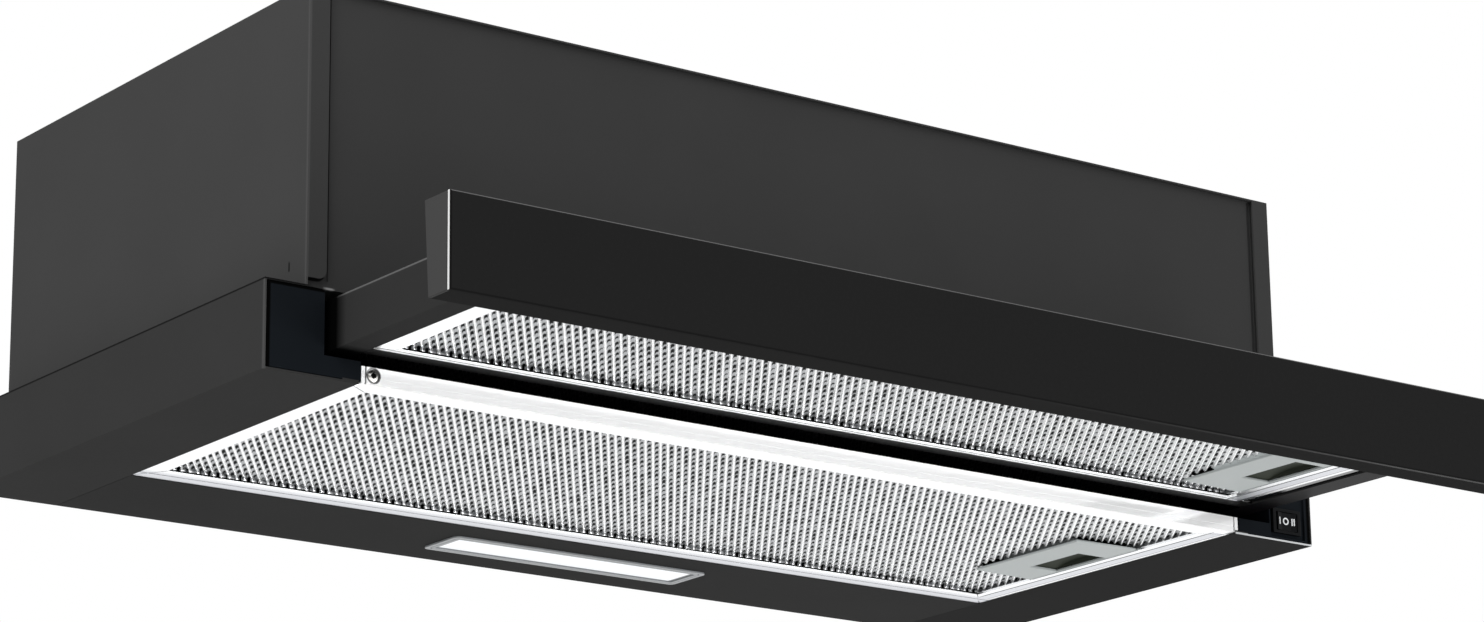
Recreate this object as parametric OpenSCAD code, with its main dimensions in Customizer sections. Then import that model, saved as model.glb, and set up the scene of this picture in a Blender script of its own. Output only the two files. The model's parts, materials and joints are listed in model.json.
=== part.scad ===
/* [Base] */
// Width of the base and of the visor
base_w = 600; // [580:1:900]
// Depth of the base below the cabinet
base_d = 266; // [262:1:300]
// Height of the base, from its underside up to the rim
base_h = 39.5; // [39:0.5:50]
// Thickness of the painted steel sheet
sheet = 0.8; // [0.6:0.1:1]
// Width of the left underside strip
strip_left = 46.5; // [44:0.5:52]
// Width of the right underside strip, which makes room for the switch
strip_right = 51; // [49:0.5:60]
// Width of the flat hem along the inner edge of each strip
hem_w = 8; // [6:0.5:10]
// Depth of the underside panel that carries the light
light_panel_d = 70.7; // [60:0.5:71]
// Width of the rim that lies under each cabinet side
rim_w = 20; // [18:0.5:21]

/* [Housing] */
// Height of the housing above the rim
body_h = 134.5; // [134:0.5:200]
// Width of the flanges bent in at the front of the side walls
flange_w = 10; // [8:0.5:14]
// Height of the front flange's lower end above the rim
flange_lift = 3.5; // [2:0.5:8]
// Corner radius of the flange's lower end
flange_r = 4; // [2:0.5:6]
// Height of the side walls' lower edge above the underside
wall_z = 16.5; // [16.2:0.1:17]

/* [Mounting] */
// Distance between the two front and the two rear cabinet screws
screw_pitch_y = 200; // [150:5:220]
// Diameter of the cabinet screw holes in the rim
screw_hole_d = 4.5; // [4:0.1:5.5]

/* [Front caps and rail] */
// Depth of the moulded end caps
cap_d = 22; // [18:0.5:24]
// Wall thickness of the end caps
cap_wall = 2; // [1.6:0.1:2.4]
// Height of the left cap's low front part
cap_low = 10; // [9.4:0.1:10.5]
// Width of the left cap's full height part
cap_left_w = 29; // [28:0.5:30]
// Width of the right cap's full height part
cap_right_w = 28; // [27:0.5:29]
// Width of the raised border round the switch field
field_border = 3.2; // [2:0.1:4]
// Height of the aluminium front rail's upper face
rail_top = 8.2; // [8:0.1:9.4]
// Depth of the front rail
rail_d = 4.4; // [4.2:0.1:5]
// Diameter of the rail screw's head
rail_screw_d = 5.2; // [4:0.1:5.4]
// How far the rail runs in front of the right underside strip
rail_over = 1.6; // [1:0.1:2.4]

/* [Switch] */
// Width of the rocker switch's bezel
switch_w = 18.6; // [18:0.1:20]
// Height of the rocker switch's bezel
switch_h = 12.4; // [12:0.1:13]
// Width of the rocker
rocker_w = 12.4; // [11:0.1:13]
// Distance from the base's right side to the rocker's middle
switch_inset = 16.8; // [16.4:0.1:17]
// Height of the rocker's middle above the underside
switch_z = 10.2; // [9.8:0.1:10.6]

/* [Filters] */
// Thickness of the filter cassettes
filter_t = 7.4; // [7:0.1:7.6]
// Thickness of the frame's aluminium
frame_t = 1; // [0.8:0.1:1.2]
// Visible width of the frame at the left edge
frame_left = 10; // [8:0.5:14]
// Visible width of the frame at the right edge, beside the latch housing
frame_right = 14; // [13:0.5:18]
// Visible width of the frames at the front edge
frame_front = 7; // [4:0.5:8]
// Visible width of the base filter's frame at the rear edge
frame_rear = 15.5; // [12:0.5:18]
// Visible width of the slide filter's frame at the rear edge
slide_frame_rear = 5.5; // [5:0.1:12]
// Height of the mesh above the frames' inner edge
mesh_lift = 0.7; // [0.4:0.1:0.9]
// How far the base filter's latch lies in front of the filter's middle
latch_shift = 3; // [0:0.5:6]
// Width of the frame's upper flanges
frame_top = 6; // [4:0.5:8]
// Distance between the mesh's ribs
rib_pitch = 3.35; // [3.2:0.05:6]
// Height of the mesh's ribs
rib_h = 1.3; // [0.8:0.1:1.8]
// Thickness of the mesh with its ribs
mesh_t = 2.4; // [2.2:0.1:4]
// Turn of the ribs away from the front to rear line
rib_turn = 35.7; // [20:0.1:50]
// How far the catch of a filter is drawn back
catch_stroke = 6; // [5:0.1:6.2]

/* [Slide] */
// How far the visor is drawn out
travel = 122; // [100:1:124]
// Distance of the slide's left arm from the base's left side
left_inset = 32.5; // [32:0.1:33]
// Distance of the slide's right arm from the base's right side, clear of the switch
right_inset = 36.5; // [36:0.1:38]
// Height of the slide's underside above the base's underside
arm_z = 12.4; // [12.2:0.1:13]
// Height of the slide's arms
arm_h = 22.7; // [22:0.1:23.5]
// Distance of the arms' rear ends from the base's rear edge, when closed
arm_clear = 10; // [9:1:16]
// Width of the left arm's foot
foot_left = 12.8; // [12:0.1:13]
// Width of the right arm's foot
foot_right = 14.1; // [13:0.1:16]
// Depth of the filter opening in the slide
bay_d = 109.4; // [105:0.1:114]
// Depth of the slide's rear cross bar
bar_d = 39.8; // [32:0.1:42]
// Margin between the right arm's outer face and the slide's filter
bay_right = 21.7; // [21:0.1:28]

/* [Visor] */
// Height of the visor
visor_h = 41; // [40:0.5:42]
// Height of the visor's underside above the base's underside
visor_z = 0.3; // [0.2:0.1:1]
// Thickness of the visor along its top
visor_top_d = 19; // [18:0.5:24]
// Thickness of the visor along its underside
visor_foot_d = 16; // [15:0.5:18]
// Thickness of the visor's front plate
plate_t = 2.5; // [2:0.1:4]
// Width of the front plate's bevelled edges
plate_bevel = 0.6; // [0.3:0.1:1]
// Thickness of the visor's end caps
visor_end_t = 1.5; // [1:0.1:2.5]

/* [Light] */
// Length of the light's bezel
bezel_l = 150.5; // [120:0.5:180]
// Width of the light's bezel
bezel_w = 30; // [26:0.5:32]
// Distance of the light's middle to the right of the hood's middle
light_x = 11.2; // [-20:0.1:20]
// Distance of the light's middle from the base's rear edge
light_back = 37; // [35:0.5:38]
// Width of the bezel's visible rim
bezel_rim = 4.2; // [3.8:0.1:6]
// How far the bezel's rim overlaps the panel
bezel_lap = 2.2; // [1.8:0.1:2.4]

/* [Blower] */
// Radius of the impeller
wheel_r = 46; // [40:0.5:47]
// Radial depth of the impeller's blades
blade_d = 8; // [6:0.5:10]
// Length of the blades on each side of the impeller's disc
blade_l = 54; // [40:1:54]
// Number of blades on each side
blade_n = 34; // [20:1:40]
// Height of the impeller's shaft above the base's underside
fan_z = 104; // [103:0.5:108]
// Distance of the impeller's shaft in front of the duct collar's middle
fan_offset = 58; // [54:1:60]
// Gap between the impeller and the scroll at its tongue
tongue_gap = 4; // [3:0.5:5]
// Growth of the scroll's radius over its turn
scroll_growth = 16; // [12:0.5:16]
// Wall of the scroll
scroll_wall = 2; // [1.6:0.1:2.4]
// Half of the scroll's width
scroll_half = 62; // [62:0.5:70]
// Radius of the motor
motor_r = 29; // [26:0.5:31]
// Radius of the motor's shaft
shaft_r = 4; // [3:0.5:5]

/* [Outlet] */
// Outer diameter of the duct collar
duct_d = 119; // [100:0.5:120]
// Height of the collar above the housing
collar_h = 35; // [30:1:40]
// Wall of the collar
collar_wall = 2; // [1.8:0.1:2.5]
// Distance of the collar's middle from the base's rear edge
outlet_back = 96; // [94:0.5:98]
// Thickness of the flaps
flap_t = 1; // [0.8:0.1:1.4]
// Diameter of the flaps' rod
rod_d = 3; // [2.5:0.1:3.5]

/* [Electrics] */
// Length of the control box
box_l = 96; // [80:1:110]
// Width of the control box
box_w = 66; // [50:1:70]
// Height of the control box
box_h = 34; // [28:1:40]
// Diameter of the mains lead that the gland takes
lead_d = 8.4; // [6:0.1:9]

/* [Hidden] */
$fn = 48;

// How far the front panel lies behind the flanges' faces, on the strips that carry it
panel_y = 2.4;
// Running and fitting clearances
fit = 0.3;
slip = 0.2;
eps = 0.01;
// Places along X: outer faces of the housing, inner edges of the underside strips
body_x = base_w / 2 - rim_w;
window_x0 = -base_w / 2 + strip_left;
window_x1 = base_w / 2 - strip_right;
window_d = base_d - light_panel_d;
body_top = base_h + body_h;
hem_top = 2 * sheet;
// Slide arms and their rails, which fill the room between a side wall and an arm
arm_x = base_w / 2 - left_inset;
arm_xr = base_w / 2 - right_inset;
arm_top = arm_z + arm_h;
arm_l = base_d - arm_clear;
wall_in = body_x - sheet;
rail_gap = 1.5;
rail_web = 1.2;
rail_lip = 2.5;
rail_z0 = wall_z + 1;
rail_z1 = rail_z0 + 16;
rail_y0 = cap_d + 2;
rail_y1 = base_d - 4;
glide_l = 22;
// The opening for the filter in the slide, in its closed place
tray_z = arm_z + sheet;
bay_x0 = -arm_x + foot_left;
bay_x1 = arm_xr - bay_right;
bay_y0 = 0.6;
bay_y1 = bay_y0 + bay_d;
tray_back = bay_y1 + bar_d;
bay_wall_h = 7;
hem_d = 8;
// The two filters: [left, right, front, rear, underside]
filter_1 = [window_x0 + fit, window_x1 - fit, rail_d + fit, window_d - fit, fit];
filter_2 = [bay_x0 + fit, bay_x1 - fit, bay_y0 + fit, bay_y1 - fit, arm_z];
// Places along Y of the latches
latch_1 = (filter_1[2] + filter_1[3]) / 2 - latch_shift;
latch_2 = (filter_2[2] + filter_2[3]) / 2;
// The latch housing and its catch, counted from a filter's right edge and its latch's middle
window_l = 18;
window_half = 18.7;
catch_mid = frame_right + 1.2 + window_l / 2;
catch_z = 1.6;
catch_t = 3;
catch_half = 20;
catch_rest = 1.9;
scoop_d = 2.1;
scoop_r = (pow(window_half - 0.5, 2) + pow(scoop_d, 2)) / (2 * scoop_d);
plate_left = frame_right + 37.5;
plate_right = frame_right;
plate_half_l = 38.5;
plate_half_r = 40.5;
plate_z = catch_z - 0.2;
// The visor, in its closed place
visor_gap = 0.5;
visor_front = -visor_gap - visor_top_d;
visor_screw_x = [-arm_x + 5, arm_xr - 5];
visor_screw_z = [arm_z + 8, arm_z + 16];
outlet_y = base_d - outlet_back;
fan_y = outlet_y - fan_offset;
// Scroll outline: the radius grows from the tongue round to the throat
tongue_a = 70;
scroll_steps = 48;
throat_half = duct_d / 2 + 1.5;
scroll_top = body_top - sheet;
scroll_tab_y = [outlet_y - 56, outlet_y + 27];
wheel_in = wheel_r - blade_d;
blade_sag = 2.6;
blade_t = 0.9;
blade_r = norm([blade_d / 2 - 0.4, blade_sag]);
inlet_r = wheel_in + 2;
duct_r = duct_d / 2;
top_hole_r = duct_r + 0.5;
collar_flange_r = duct_r + 13;
collar_screw_r = duct_r + 7.5;
rod_z = body_top + 3.8;
box_x0 = 100;
box_y0 = base_d - 14 - box_w;
gland = [box_x0 + box_l / 2, box_y0 + box_w / 2];
gland_r = 10;

// The design frame has its zero at the base's front lower edge; the part's own zero is the middle of the rim
module seat() translate([0, -base_d / 2, -base_h]) children();
module drawn_out() translate([0, -travel, 0]) children();
module block(lo, hi) translate(lo) cube(hi - lo);
module along_x(x0, x1) translate([x0, 0, 0]) rotate([90, 0, 90]) linear_extrude(x1 - x0) children();
module along_y(y0, y1) translate([0, y1, 0]) rotate([90, 0, 0]) linear_extrude(y1 - y0) children();
module rod_x(x0, x1, y, z, r, sides = $fn) translate([x0, y, z]) rotate([0, 90, 0]) cylinder(r = r, h = x1 - x0, $fn = sides);
module rod_y(y0, y1, x, z, r) translate([x, y1, z]) rotate([90, 0, 0]) cylinder(r = r, h = y1 - y0);
module rod_z(z0, z1, x, y, r) translate([x, y, z0]) cylinder(r = r, h = z1 - z0);
module rounded(w, d, r) {
    square([w - 2 * r, d], center = true);
    square([w, d - 2 * r], center = true);
    for (x = [-1, 1], y = [-1, 1]) translate([x * (w / 2 - r), y * (d / 2 - r)]) circle(r);
}

/* Housing: one sheet forms the top and both side walls, which reach down into the base to carry the rails */
module front_flange() {
    h = body_h - flange_lift;
    translate([body_x - flange_w, base_h + flange_lift]) {
        translate([0, flange_r]) square([flange_w, h - flange_r]);
        translate([flange_r, 0]) square([flange_w - flange_r, flange_r + eps]);
        translate([flange_r, flange_r]) circle(flange_r);
    }
}
rear_flange = 12;
module housing_shell() color("#3c3c3c") seat() difference() {
    union() {
        difference() {
            block([-body_x, 0, wall_z], [body_x, base_d, body_top]);
            block([-wall_in, -1, wall_z - 1], [wall_in, base_d + 1, body_top - sheet]);
            for (s = [-1, 1]) scale([s, 1, 1])
                for (y = [[-1, cap_d + 1], [base_d - sheet - slip, base_d + 1]])
                    block([wall_in - 1, y[0], wall_z - 1], [body_x + 1, y[1], base_h]);
        }
        for (s = [0, 1]) mirror([s, 0, 0]) {
            along_y(0, sheet) front_flange();
            block([body_x - rear_flange, base_d - sheet, base_h], [body_x, base_d, body_top]);
        }
    }
    rod_z(body_top - 2, body_top + 1, 0, outlet_y, top_hole_r);
    rod_z(body_top - 2, body_top + 1, gland.x, gland.y, gland_r + slip);
    for (a = [45:90:315]) rod_z(body_top - 2, body_top + 1, collar_screw_r * cos(a),
        outlet_y + collar_screw_r * sin(a), 1.7);
    for (s = [-1, 1], y = scroll_tab_y) rod_z(body_top - 2, body_top + 1, s * (scroll_half + 8), y, 1.7);
    for (s = [0, 1], y = [rail_y0 + 12, rail_y1 - 12]) mirror([s, 0, 0])
        rod_x(wall_in - 1, body_x + 1, y, (rail_z0 + rail_z1) / 2, 1.7);
}
panel_foot = 20;
panel_head = 14;
panel_groove = 2;
panel_web = 0.25;
module front_panel() color("#393939") seat() {
    difference() {
        block([-wall_in + slip, panel_y, base_h], [wall_in - slip, panel_y + sheet, scroll_top]);
        for (s = [0, 1]) mirror([s, 0, 0]) block([body_x - flange_w - panel_groove, panel_y - 1, base_h + flange_lift],
            [body_x - flange_w, panel_y + sheet - panel_web, body_top]);
    }
    block([-wall_in + slip, panel_y, base_h], [wall_in - slip, panel_foot, base_h + sheet]);
    block([-wall_in + slip, panel_y, scroll_top - sheet], [wall_in - slip, panel_head, scroll_top]);
    for (s = [0, 1]) mirror([s, 0, 0]) block([wall_in - flange_w + 2, sheet, base_h + flange_lift + 2 * flange_r],
        [wall_in - slip, panel_y + sheet, scroll_top]);
}

module rear_panel() color("#393939") seat() {
    block([-wall_in + slip, base_d - 2 * sheet, base_h - 12], [wall_in - slip, base_d - sheet, scroll_top]);
    block([-wall_in + slip, base_d - panel_head, scroll_top - sheet], [wall_in - slip, base_d - sheet, scroll_top]);
}

/* Base: two side channels and the rear panel with the light */
module base_side(strip_w) difference() {
    union() {
        along_y(0, base_d) {
            square([sheet, base_h]);
            square([strip_w, sheet]);
            translate([strip_w - hem_w, 0]) square([hem_w, hem_top]);
            translate([0, base_h - sheet]) square([rim_w, sheet]);
            translate([rim_w - sheet, wall_z]) square([sheet, base_h - wall_z]);
        }
        block([0, base_d - sheet, 0], [strip_w, base_d, base_h - slip]);
    }
    block([sheet, -1, wall_z - 1], [rim_w + 1, cap_d + 1, base_h - sheet]);
    for (s = [-1, 1]) rod_z(base_h - 2, base_h + 1, rim_w / 2, base_d / 2 + s * screw_pitch_y / 2, screw_hole_d / 2);
    for (y = [rail_y0 + 12, rail_y1 - 12]) rod_x(rim_w - 2, rim_w + 1, y, (rail_z0 + rail_z1) / 2, 1.7);
}
module base_side_left() color("#3a3a3a") seat() translate([-base_w / 2, 0, 0]) base_side(strip_left);
module base_side_right() color("#3a3a3a") seat() mirror([1, 0, 0]) translate([-base_w / 2, 0, 0])
    base_side(strip_right);
module light_panel() color("#2b2b2b") seat() difference() {
    union() {
        block([window_x0 + fit, window_d, 0], [window_x1 - fit, base_d, sheet]);
        block([window_x0 + fit, window_d, 0], [window_x1 - fit, window_d + sheet, filter_t + fit]);
        block([window_x0 + fit, base_d - sheet, 0], [window_x1 - fit, base_d, base_h - slip]);
    }
    translate([light_x, base_d - light_back, -1])
        linear_extrude(3) rounded(bezel_l - 2 * bezel_lap + slip, bezel_w - 2 * bezel_lap + slip, 2);
}

/* Moulded caps that close the front ends of the side channels */
cap_gap = 0.4;
module cap_tongue(x0, x1) block([x0, 1.7, 2], [x1, 4.2, rail_top - 1.2]);
module cap_hollow(x0, x1, z0, z1) block([x0 + cap_wall, cap_wall, z0 + cap_wall], [x1 - cap_wall, cap_d + 1, z1 - cap_wall]);
module front_cap_left() color("#15181c") seat() {
    x0 = -base_w / 2 + sheet + cap_gap;
    x1 = x0 + cap_left_w - sheet;
    x2 = window_x0 + 1.1;
    z0 = sheet + cap_gap;
    z1 = base_h - sheet - cap_gap;
    difference() {
        union() {
            block([x0, 0.1, z0], [x1, cap_d, z1]);
            block([x0, 0.1, z0], [window_x0 - hem_w, cap_d, cap_low]);
            block([x0, 0.1, hem_top + 0.1], [x2, cap_d / 2, cap_low]);
            block([window_x0 - hem_w, 0.1, hem_top + 0.1], [x2, 4.2, cap_low]);
            block([window_x0, 0.1, z0], [x2, 4.2, cap_low]);
            cap_tongue(x2 - 1, x2 + 13);
        }
        cap_hollow(x0, x1, z0, z1);
        cap_hollow(x1 - 2 * cap_wall, window_x0 - hem_w, z0, cap_low);
        block([window_x0 + 0.1 - 1, 4.3, 0], [x2 + 1, cap_d + 1, cap_low + 1]);
        rod_y(1, 5, rail_screw.x, rail_screw.y, 1.5);
    }
}
module front_cap_right() color("#15181c") seat() {
    x0 = window_x1 + rail_over + 1;
    x1 = base_w / 2 - cap_right_w;
    x2 = base_w / 2 - sheet - cap_gap;
    z0 = sheet + cap_gap;
    z1 = base_h - sheet - cap_gap;
    difference() {
        union() {
            block([x1, 0.1, z0], [x2, cap_d, z1]);
            block([window_x1 + hem_w, 0.1, z0], [x2, cap_d, rail_top]);
            block([x0, 0.1, hem_top + 0.1], [x2, cap_d / 2, rail_top]);
            cap_tongue(window_x1 - 12, x0 + 1);
        }
        cap_hollow(x1, x2, z0, z1);
        cap_hollow(window_x1 + hem_w, x1 + 2 * cap_wall, z0, rail_top);
        block([x1 + 1, -1, z0 + 1], [x2 - field_border, 1.3, z1 + 1]);
        block([switch_x - switch_w / 2 + 0.9, -1, switch_z - switch_h / 2 + 0.7],
              [switch_x + switch_w / 2 - 0.9, cap_wall + 1, switch_z + switch_h / 2 - 0.7]);
    }
}
rail_screw = [window_x0 + 7.5, rail_top / 2 + 0.6];
module front_rail() color("#e6e8ea") seat() difference() {
    along_x(window_x0 + 1.1 + fit, window_x1 + rail_over) {
        translate([0.2, 0.7]) square([1.4, rail_top - 0.7]);
        for (z = [0.7, rail_top - 1]) translate([0.2, z]) square([rail_d - 0.2, 1]);
    }
    block([window_x1 - fit, -1, 0], [base_w, rail_d + 1, hem_top + slip]);
    for (x = [window_x0 + 3.2, window_x1 - 1.2]) block([x, -1, 0], [x + 0.8, 1, base_h]);
    along_x(-base_w, base_w) translate([0, 3.2]) square([0.4, 0.4]);
    rod_y(0, 3, rail_screw.x, rail_screw.y, 1.5);
    rod_y(0, 0.9, rail_screw.x, rail_screw.y, rail_screw_d / 2 + 0.6);
}
module pan_head(r, h) {
    difference() {
        rotate_extrude() intersection() {
            square([r, h]);
            translate([0, h - 2.2 * r]) circle(2.2 * r, $fn = 96);
        }
        translate([0, 0, h]) for (a = [0, 90]) rotate([0, 0, a]) cube([r * 1.1, r * 0.24, h * 0.9], center = true);
    }
}
module front_rail_screw() color("#8b8f93") seat() translate([rail_screw.x, 0.9, rail_screw.y])
    rotate([90, 0, 0]) {
        pan_head(rail_screw_d / 2, 1);
        translate([0, 0, -3.2]) cylinder(r = 1.45, h = 3.3);
    }

/* Rocker switch with three places: I, 0 and II */
switch_x = base_w / 2 - switch_inset;
rocker_y = 4.3;
rocker_half_h = switch_h / 2 - 1.7;
module switch_body() color("#121316") seat() translate([switch_x, 0, switch_z]) difference() {
    union() {
        block([-switch_w / 2, -0.7, -switch_h / 2], [switch_w / 2, 1.3, switch_h / 2]);
        block([-switch_w / 2 + 1.1, 1, -switch_h / 2 + 0.9], [switch_w / 2 - 1.1, 21, switch_h / 2 - 0.9]);
        for (x = [-5, 0, 5]) block([x - 0.4, 20, -2.4], [x + 0.4, 28, 2.4]);
    }
    block([-rocker_w / 2 - 0.8, -1, -rocker_half_h - slip], [rocker_w / 2 + 0.8, 10, rocker_half_h + slip]);
    translate([0, rocker_y, -switch_h / 2]) cylinder(r = 1.25, h = switch_h);
}
module rocker() color("#1c1d20") seat() translate([switch_x, rocker_y, switch_z]) {
    translate([0, 0, -rocker_half_h]) linear_extrude(2 * rocker_half_h)
        polygon([[-rocker_w / 2, -5.2], [-3, -4.5], [3, -4.5], [rocker_w / 2, -5.2], [rocker_w / 2, -1],
            [3.5, 2.6], [-3.5, 2.6], [-rocker_w / 2, -1]]);
    translate([0, 0, -rocker_half_h - 0.7]) cylinder(r = 1.2, h = 2 * rocker_half_h + 1.4);
}

/* Light: bezel, diffuser and strip of light emitting diodes */
lens_z = 0.6;
module light_place() seat() translate([light_x, base_d - light_back, 0]) children();
module light_bezel() color("#9a9c9f") light_place() difference() {
    union() {
        translate([0, 0, -0.9]) linear_extrude(0.9) rounded(bezel_l, bezel_w, 3);
        linear_extrude(8.6) rounded(bezel_l - 2 * bezel_lap, bezel_w - 2 * bezel_lap, 2);
    }
    translate([0, 0, -1]) linear_extrude(12) rounded(bezel_l - 2 * bezel_rim, bezel_w - 2 * bezel_rim, 1);
    translate([0, 0, lens_z]) linear_extrude(12) rounded(bezel_l - 2 * bezel_rim + 2, bezel_w - 2 * bezel_rim + 2, 1);
    // groove round the rim's outer border
    translate([0, 0, -1]) linear_extrude(0.1 + groove_d / 2) difference() {
        rounded(bezel_l - 2 * bezel_lap, bezel_w - 2 * bezel_lap, 2);
        rounded(bezel_l - 2 * bezel_lap - groove_w, bezel_w - 2 * bezel_lap - groove_w, 2);
    }
}
module light_lens() color("#f4f9fc") light_place() {
    translate([0, 0, lens_z]) linear_extrude(1.2)
        rounded(bezel_l - 2 * bezel_rim + 1.8, bezel_w - 2 * bezel_rim + 1.8, 0.9);
    translate([0, 0, -0.3]) linear_extrude(1) rounded(bezel_l - 2 * bezel_rim - 0.2, bezel_w - 2 * bezel_rim - 0.2, 0.9);
}
module light_board() color("#e9ecdf") light_place() {
    translate([0, 0, 6.6]) linear_extrude(1.6)
        rounded(bezel_l - 2 * bezel_rim + 1.8, bezel_w - 2 * bezel_rim + 1.8, 0.9);
    for (i = [-4:4]) translate([i * (bezel_l - 30) / 8, 0, 6.2]) cube([5, 5, 0.9], center = true);
}

/* Slide rails: channels with inturned lips, fixed to the side walls */
module slide_rail(ax) difference() {
    along_y(rail_y0, rail_y1) difference() {
        translate([ax + rail_gap, rail_z0]) square([wall_in - ax - rail_gap, rail_z1 - rail_z0]);
        translate([ax + rail_gap + rail_web, rail_z0 + rail_web])
            square([wall_in - ax - rail_gap - 2 * rail_web, rail_z1 - rail_z0 - 2 * rail_web]);
        translate([ax, rail_z0 + rail_web + rail_lip])
            square([rail_gap + rail_web + 1, rail_z1 - rail_z0 - 2 * (rail_web + rail_lip)]);
    }
    for (y = [rail_y0 + 12, rail_y1 - 12])
        rod_x(wall_in - rail_web - 1, wall_in + 1, y, (rail_z0 + rail_z1) / 2, 1.7);
}
module slide_rail_left() color("#a9adb0") seat() mirror([1, 0, 0]) slide_rail(arm_x);
module slide_rail_right() color("#a9adb0") seat() slide_rail(arm_xr);
module slide_rail_screws() color("#8b8f93") seat() for (s = [0, 1], y = [rail_y0 + 12, rail_y1 - 12])
    mirror([s, 0, 0]) translate([0, y, (rail_z0 + rail_z1) / 2]) {
        rod_x(wall_in - rail_web, body_x + sheet, 0, 0, 1.6);
        rod_x(body_x + sheet, body_x + 3, 0, 0, 3);
    }

/* Slide: arms, glides, tray and visor, all modelled in their closed place and then drawn out */
module visor_section(grow = 0) polygon([[visor_front + plate_t - grow, visor_z - grow],
    [visor_front + visor_foot_d + grow, visor_z - grow],
    [-visor_gap + grow, visor_z + visor_h + grow], [visor_front + plate_t - grow, visor_z + visor_h + grow]]);
module behind_visor() difference() {
    children();
    along_x(-base_w, base_w) visor_section(0);
}
module arm(foot, ax) difference() {
    behind_visor() {
        along_y(-visor_top_d / 4, arm_l) {
            translate([ax - 1, arm_z]) square([1, arm_h]);
            translate([ax - foot, arm_z]) square([foot, sheet]);
            translate([ax - 9, arm_top - sheet]) square([9, sheet]);
        }
        block([ax - 9, -visor_top_d / 4, tray_z + sheet], [ax, 1, arm_top]);
    }
    for (z = visor_screw_z) rod_y(-visor_top_d, visor_top_d, ax - 5, z, 1.7);
}
module arm_left() color("#3d3d3d") seat() drawn_out() mirror([1, 0, 0]) arm(foot_left, arm_x);
module arm_right() color("#3d3d3d") seat() drawn_out() arm(foot_right, arm_xr);
module glides(ax) for (y = [travel + cap_d + 4, arm_l - glide_l - 4]) {
    block([ax, y, rail_z0 + rail_web + rail_lip + slip],
          [ax + rail_gap + rail_web + slip, y + glide_l, rail_z1 - rail_web - rail_lip - slip]);
    block([ax + rail_gap + rail_web + slip, y, rail_z0 + rail_web + slip],
          [wall_in - rail_web - slip, y + glide_l, rail_z1 - rail_web - slip]);
}
module glides_left() color("#e9e7e0") seat() drawn_out() mirror([1, 0, 0]) glides(arm_x);
module glides_right() color("#e9e7e0") seat() drawn_out() glides(arm_xr);
module slide_tray() color("#17181a") seat() drawn_out() behind_visor() difference() {
    union() {
        block([-arm_x + 1, -visor_top_d / 4, tray_z], [arm_xr - 1, tray_back, tray_z + sheet]);
        block([bay_x0 - sheet, bay_y0 - sheet, tray_z], [bay_x1 + sheet, bay_y1 + sheet, tray_z + bay_wall_h]);
        block([-arm_x + 1, tray_back - sheet, tray_z], [arm_xr - 1, tray_back, tray_z + bay_wall_h]);
        block([-arm_x + foot_left + fit, bay_y1, arm_z], [arm_xr - foot_right - fit, bay_y1 + hem_d, tray_z + eps]);
    }
    block([bay_x0, bay_y0, tray_z - 1], [bay_x1, bay_y1, tray_z + bay_wall_h + 1]);
    intersection() {
        tongues(filter_2, bay_wall_h, slip);
        block([-base_w, -base_d, tray_z + sheet], [base_w, base_d, tray_z + bay_wall_h + 1]);
    }
    block([bay_x1 - 1, latch_2 - 8, tray_z + sheet], [bay_x1 + 5, latch_2 + 8, tray_z + bay_wall_h + 1]);
}
visor_x = base_w / 2 - visor_end_t;
module visor_body() color("#2a2a2a") seat() drawn_out() difference() {
    along_x(-visor_x, visor_x) visor_section(0);
    along_x(-visor_x - 1, visor_x + 1) visor_section(-sheet);
    for (x = visor_screw_x, z = visor_screw_z) rod_y(-visor_top_d / 2, visor_top_d, x, z, 1.7);
}
module visor_front_plate() color("#232323") seat() drawn_out() {
    y0 = visor_front;
    y1 = visor_front + plate_t;
    b = plate_bevel;
    x = base_w / 2;
    z0 = visor_z;
    z1 = visor_z + visor_h;
    intersection() {
        along_x(-x, x) polygon([[y1, z0], [y1, z1], [y0 + b, z1], [y0, z1 - b], [y0, z0 + b], [y0 + b, z0]]);
        translate([0, 0, z0]) linear_extrude(visor_h)
            polygon([[-x, y1], [-x, y0 + b], [-x + b, y0], [x - b, y0], [x, y0 + b], [x, y1]]);
    }
}
module visor_end() {
    along_x(visor_x, base_w / 2) visor_section(0);
    along_x(visor_x - 6, visor_x) difference() {
        visor_section(-sheet - 0.1);
        visor_section(-sheet - 1.6);
    }
}
module visor_end_left() color("#454545") seat() drawn_out() mirror([1, 0, 0]) visor_end();
module visor_end_right() color("#454545") seat() drawn_out() visor_end();
module visor_screws() color("#8b8f93") seat() drawn_out() for (x = visor_screw_x, z = visor_screw_z) {
    rod_y(-4.8, 3, x, z, 1.6);
    rod_y(-4.8, -3.3, x, z, 2.9);
}

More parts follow.
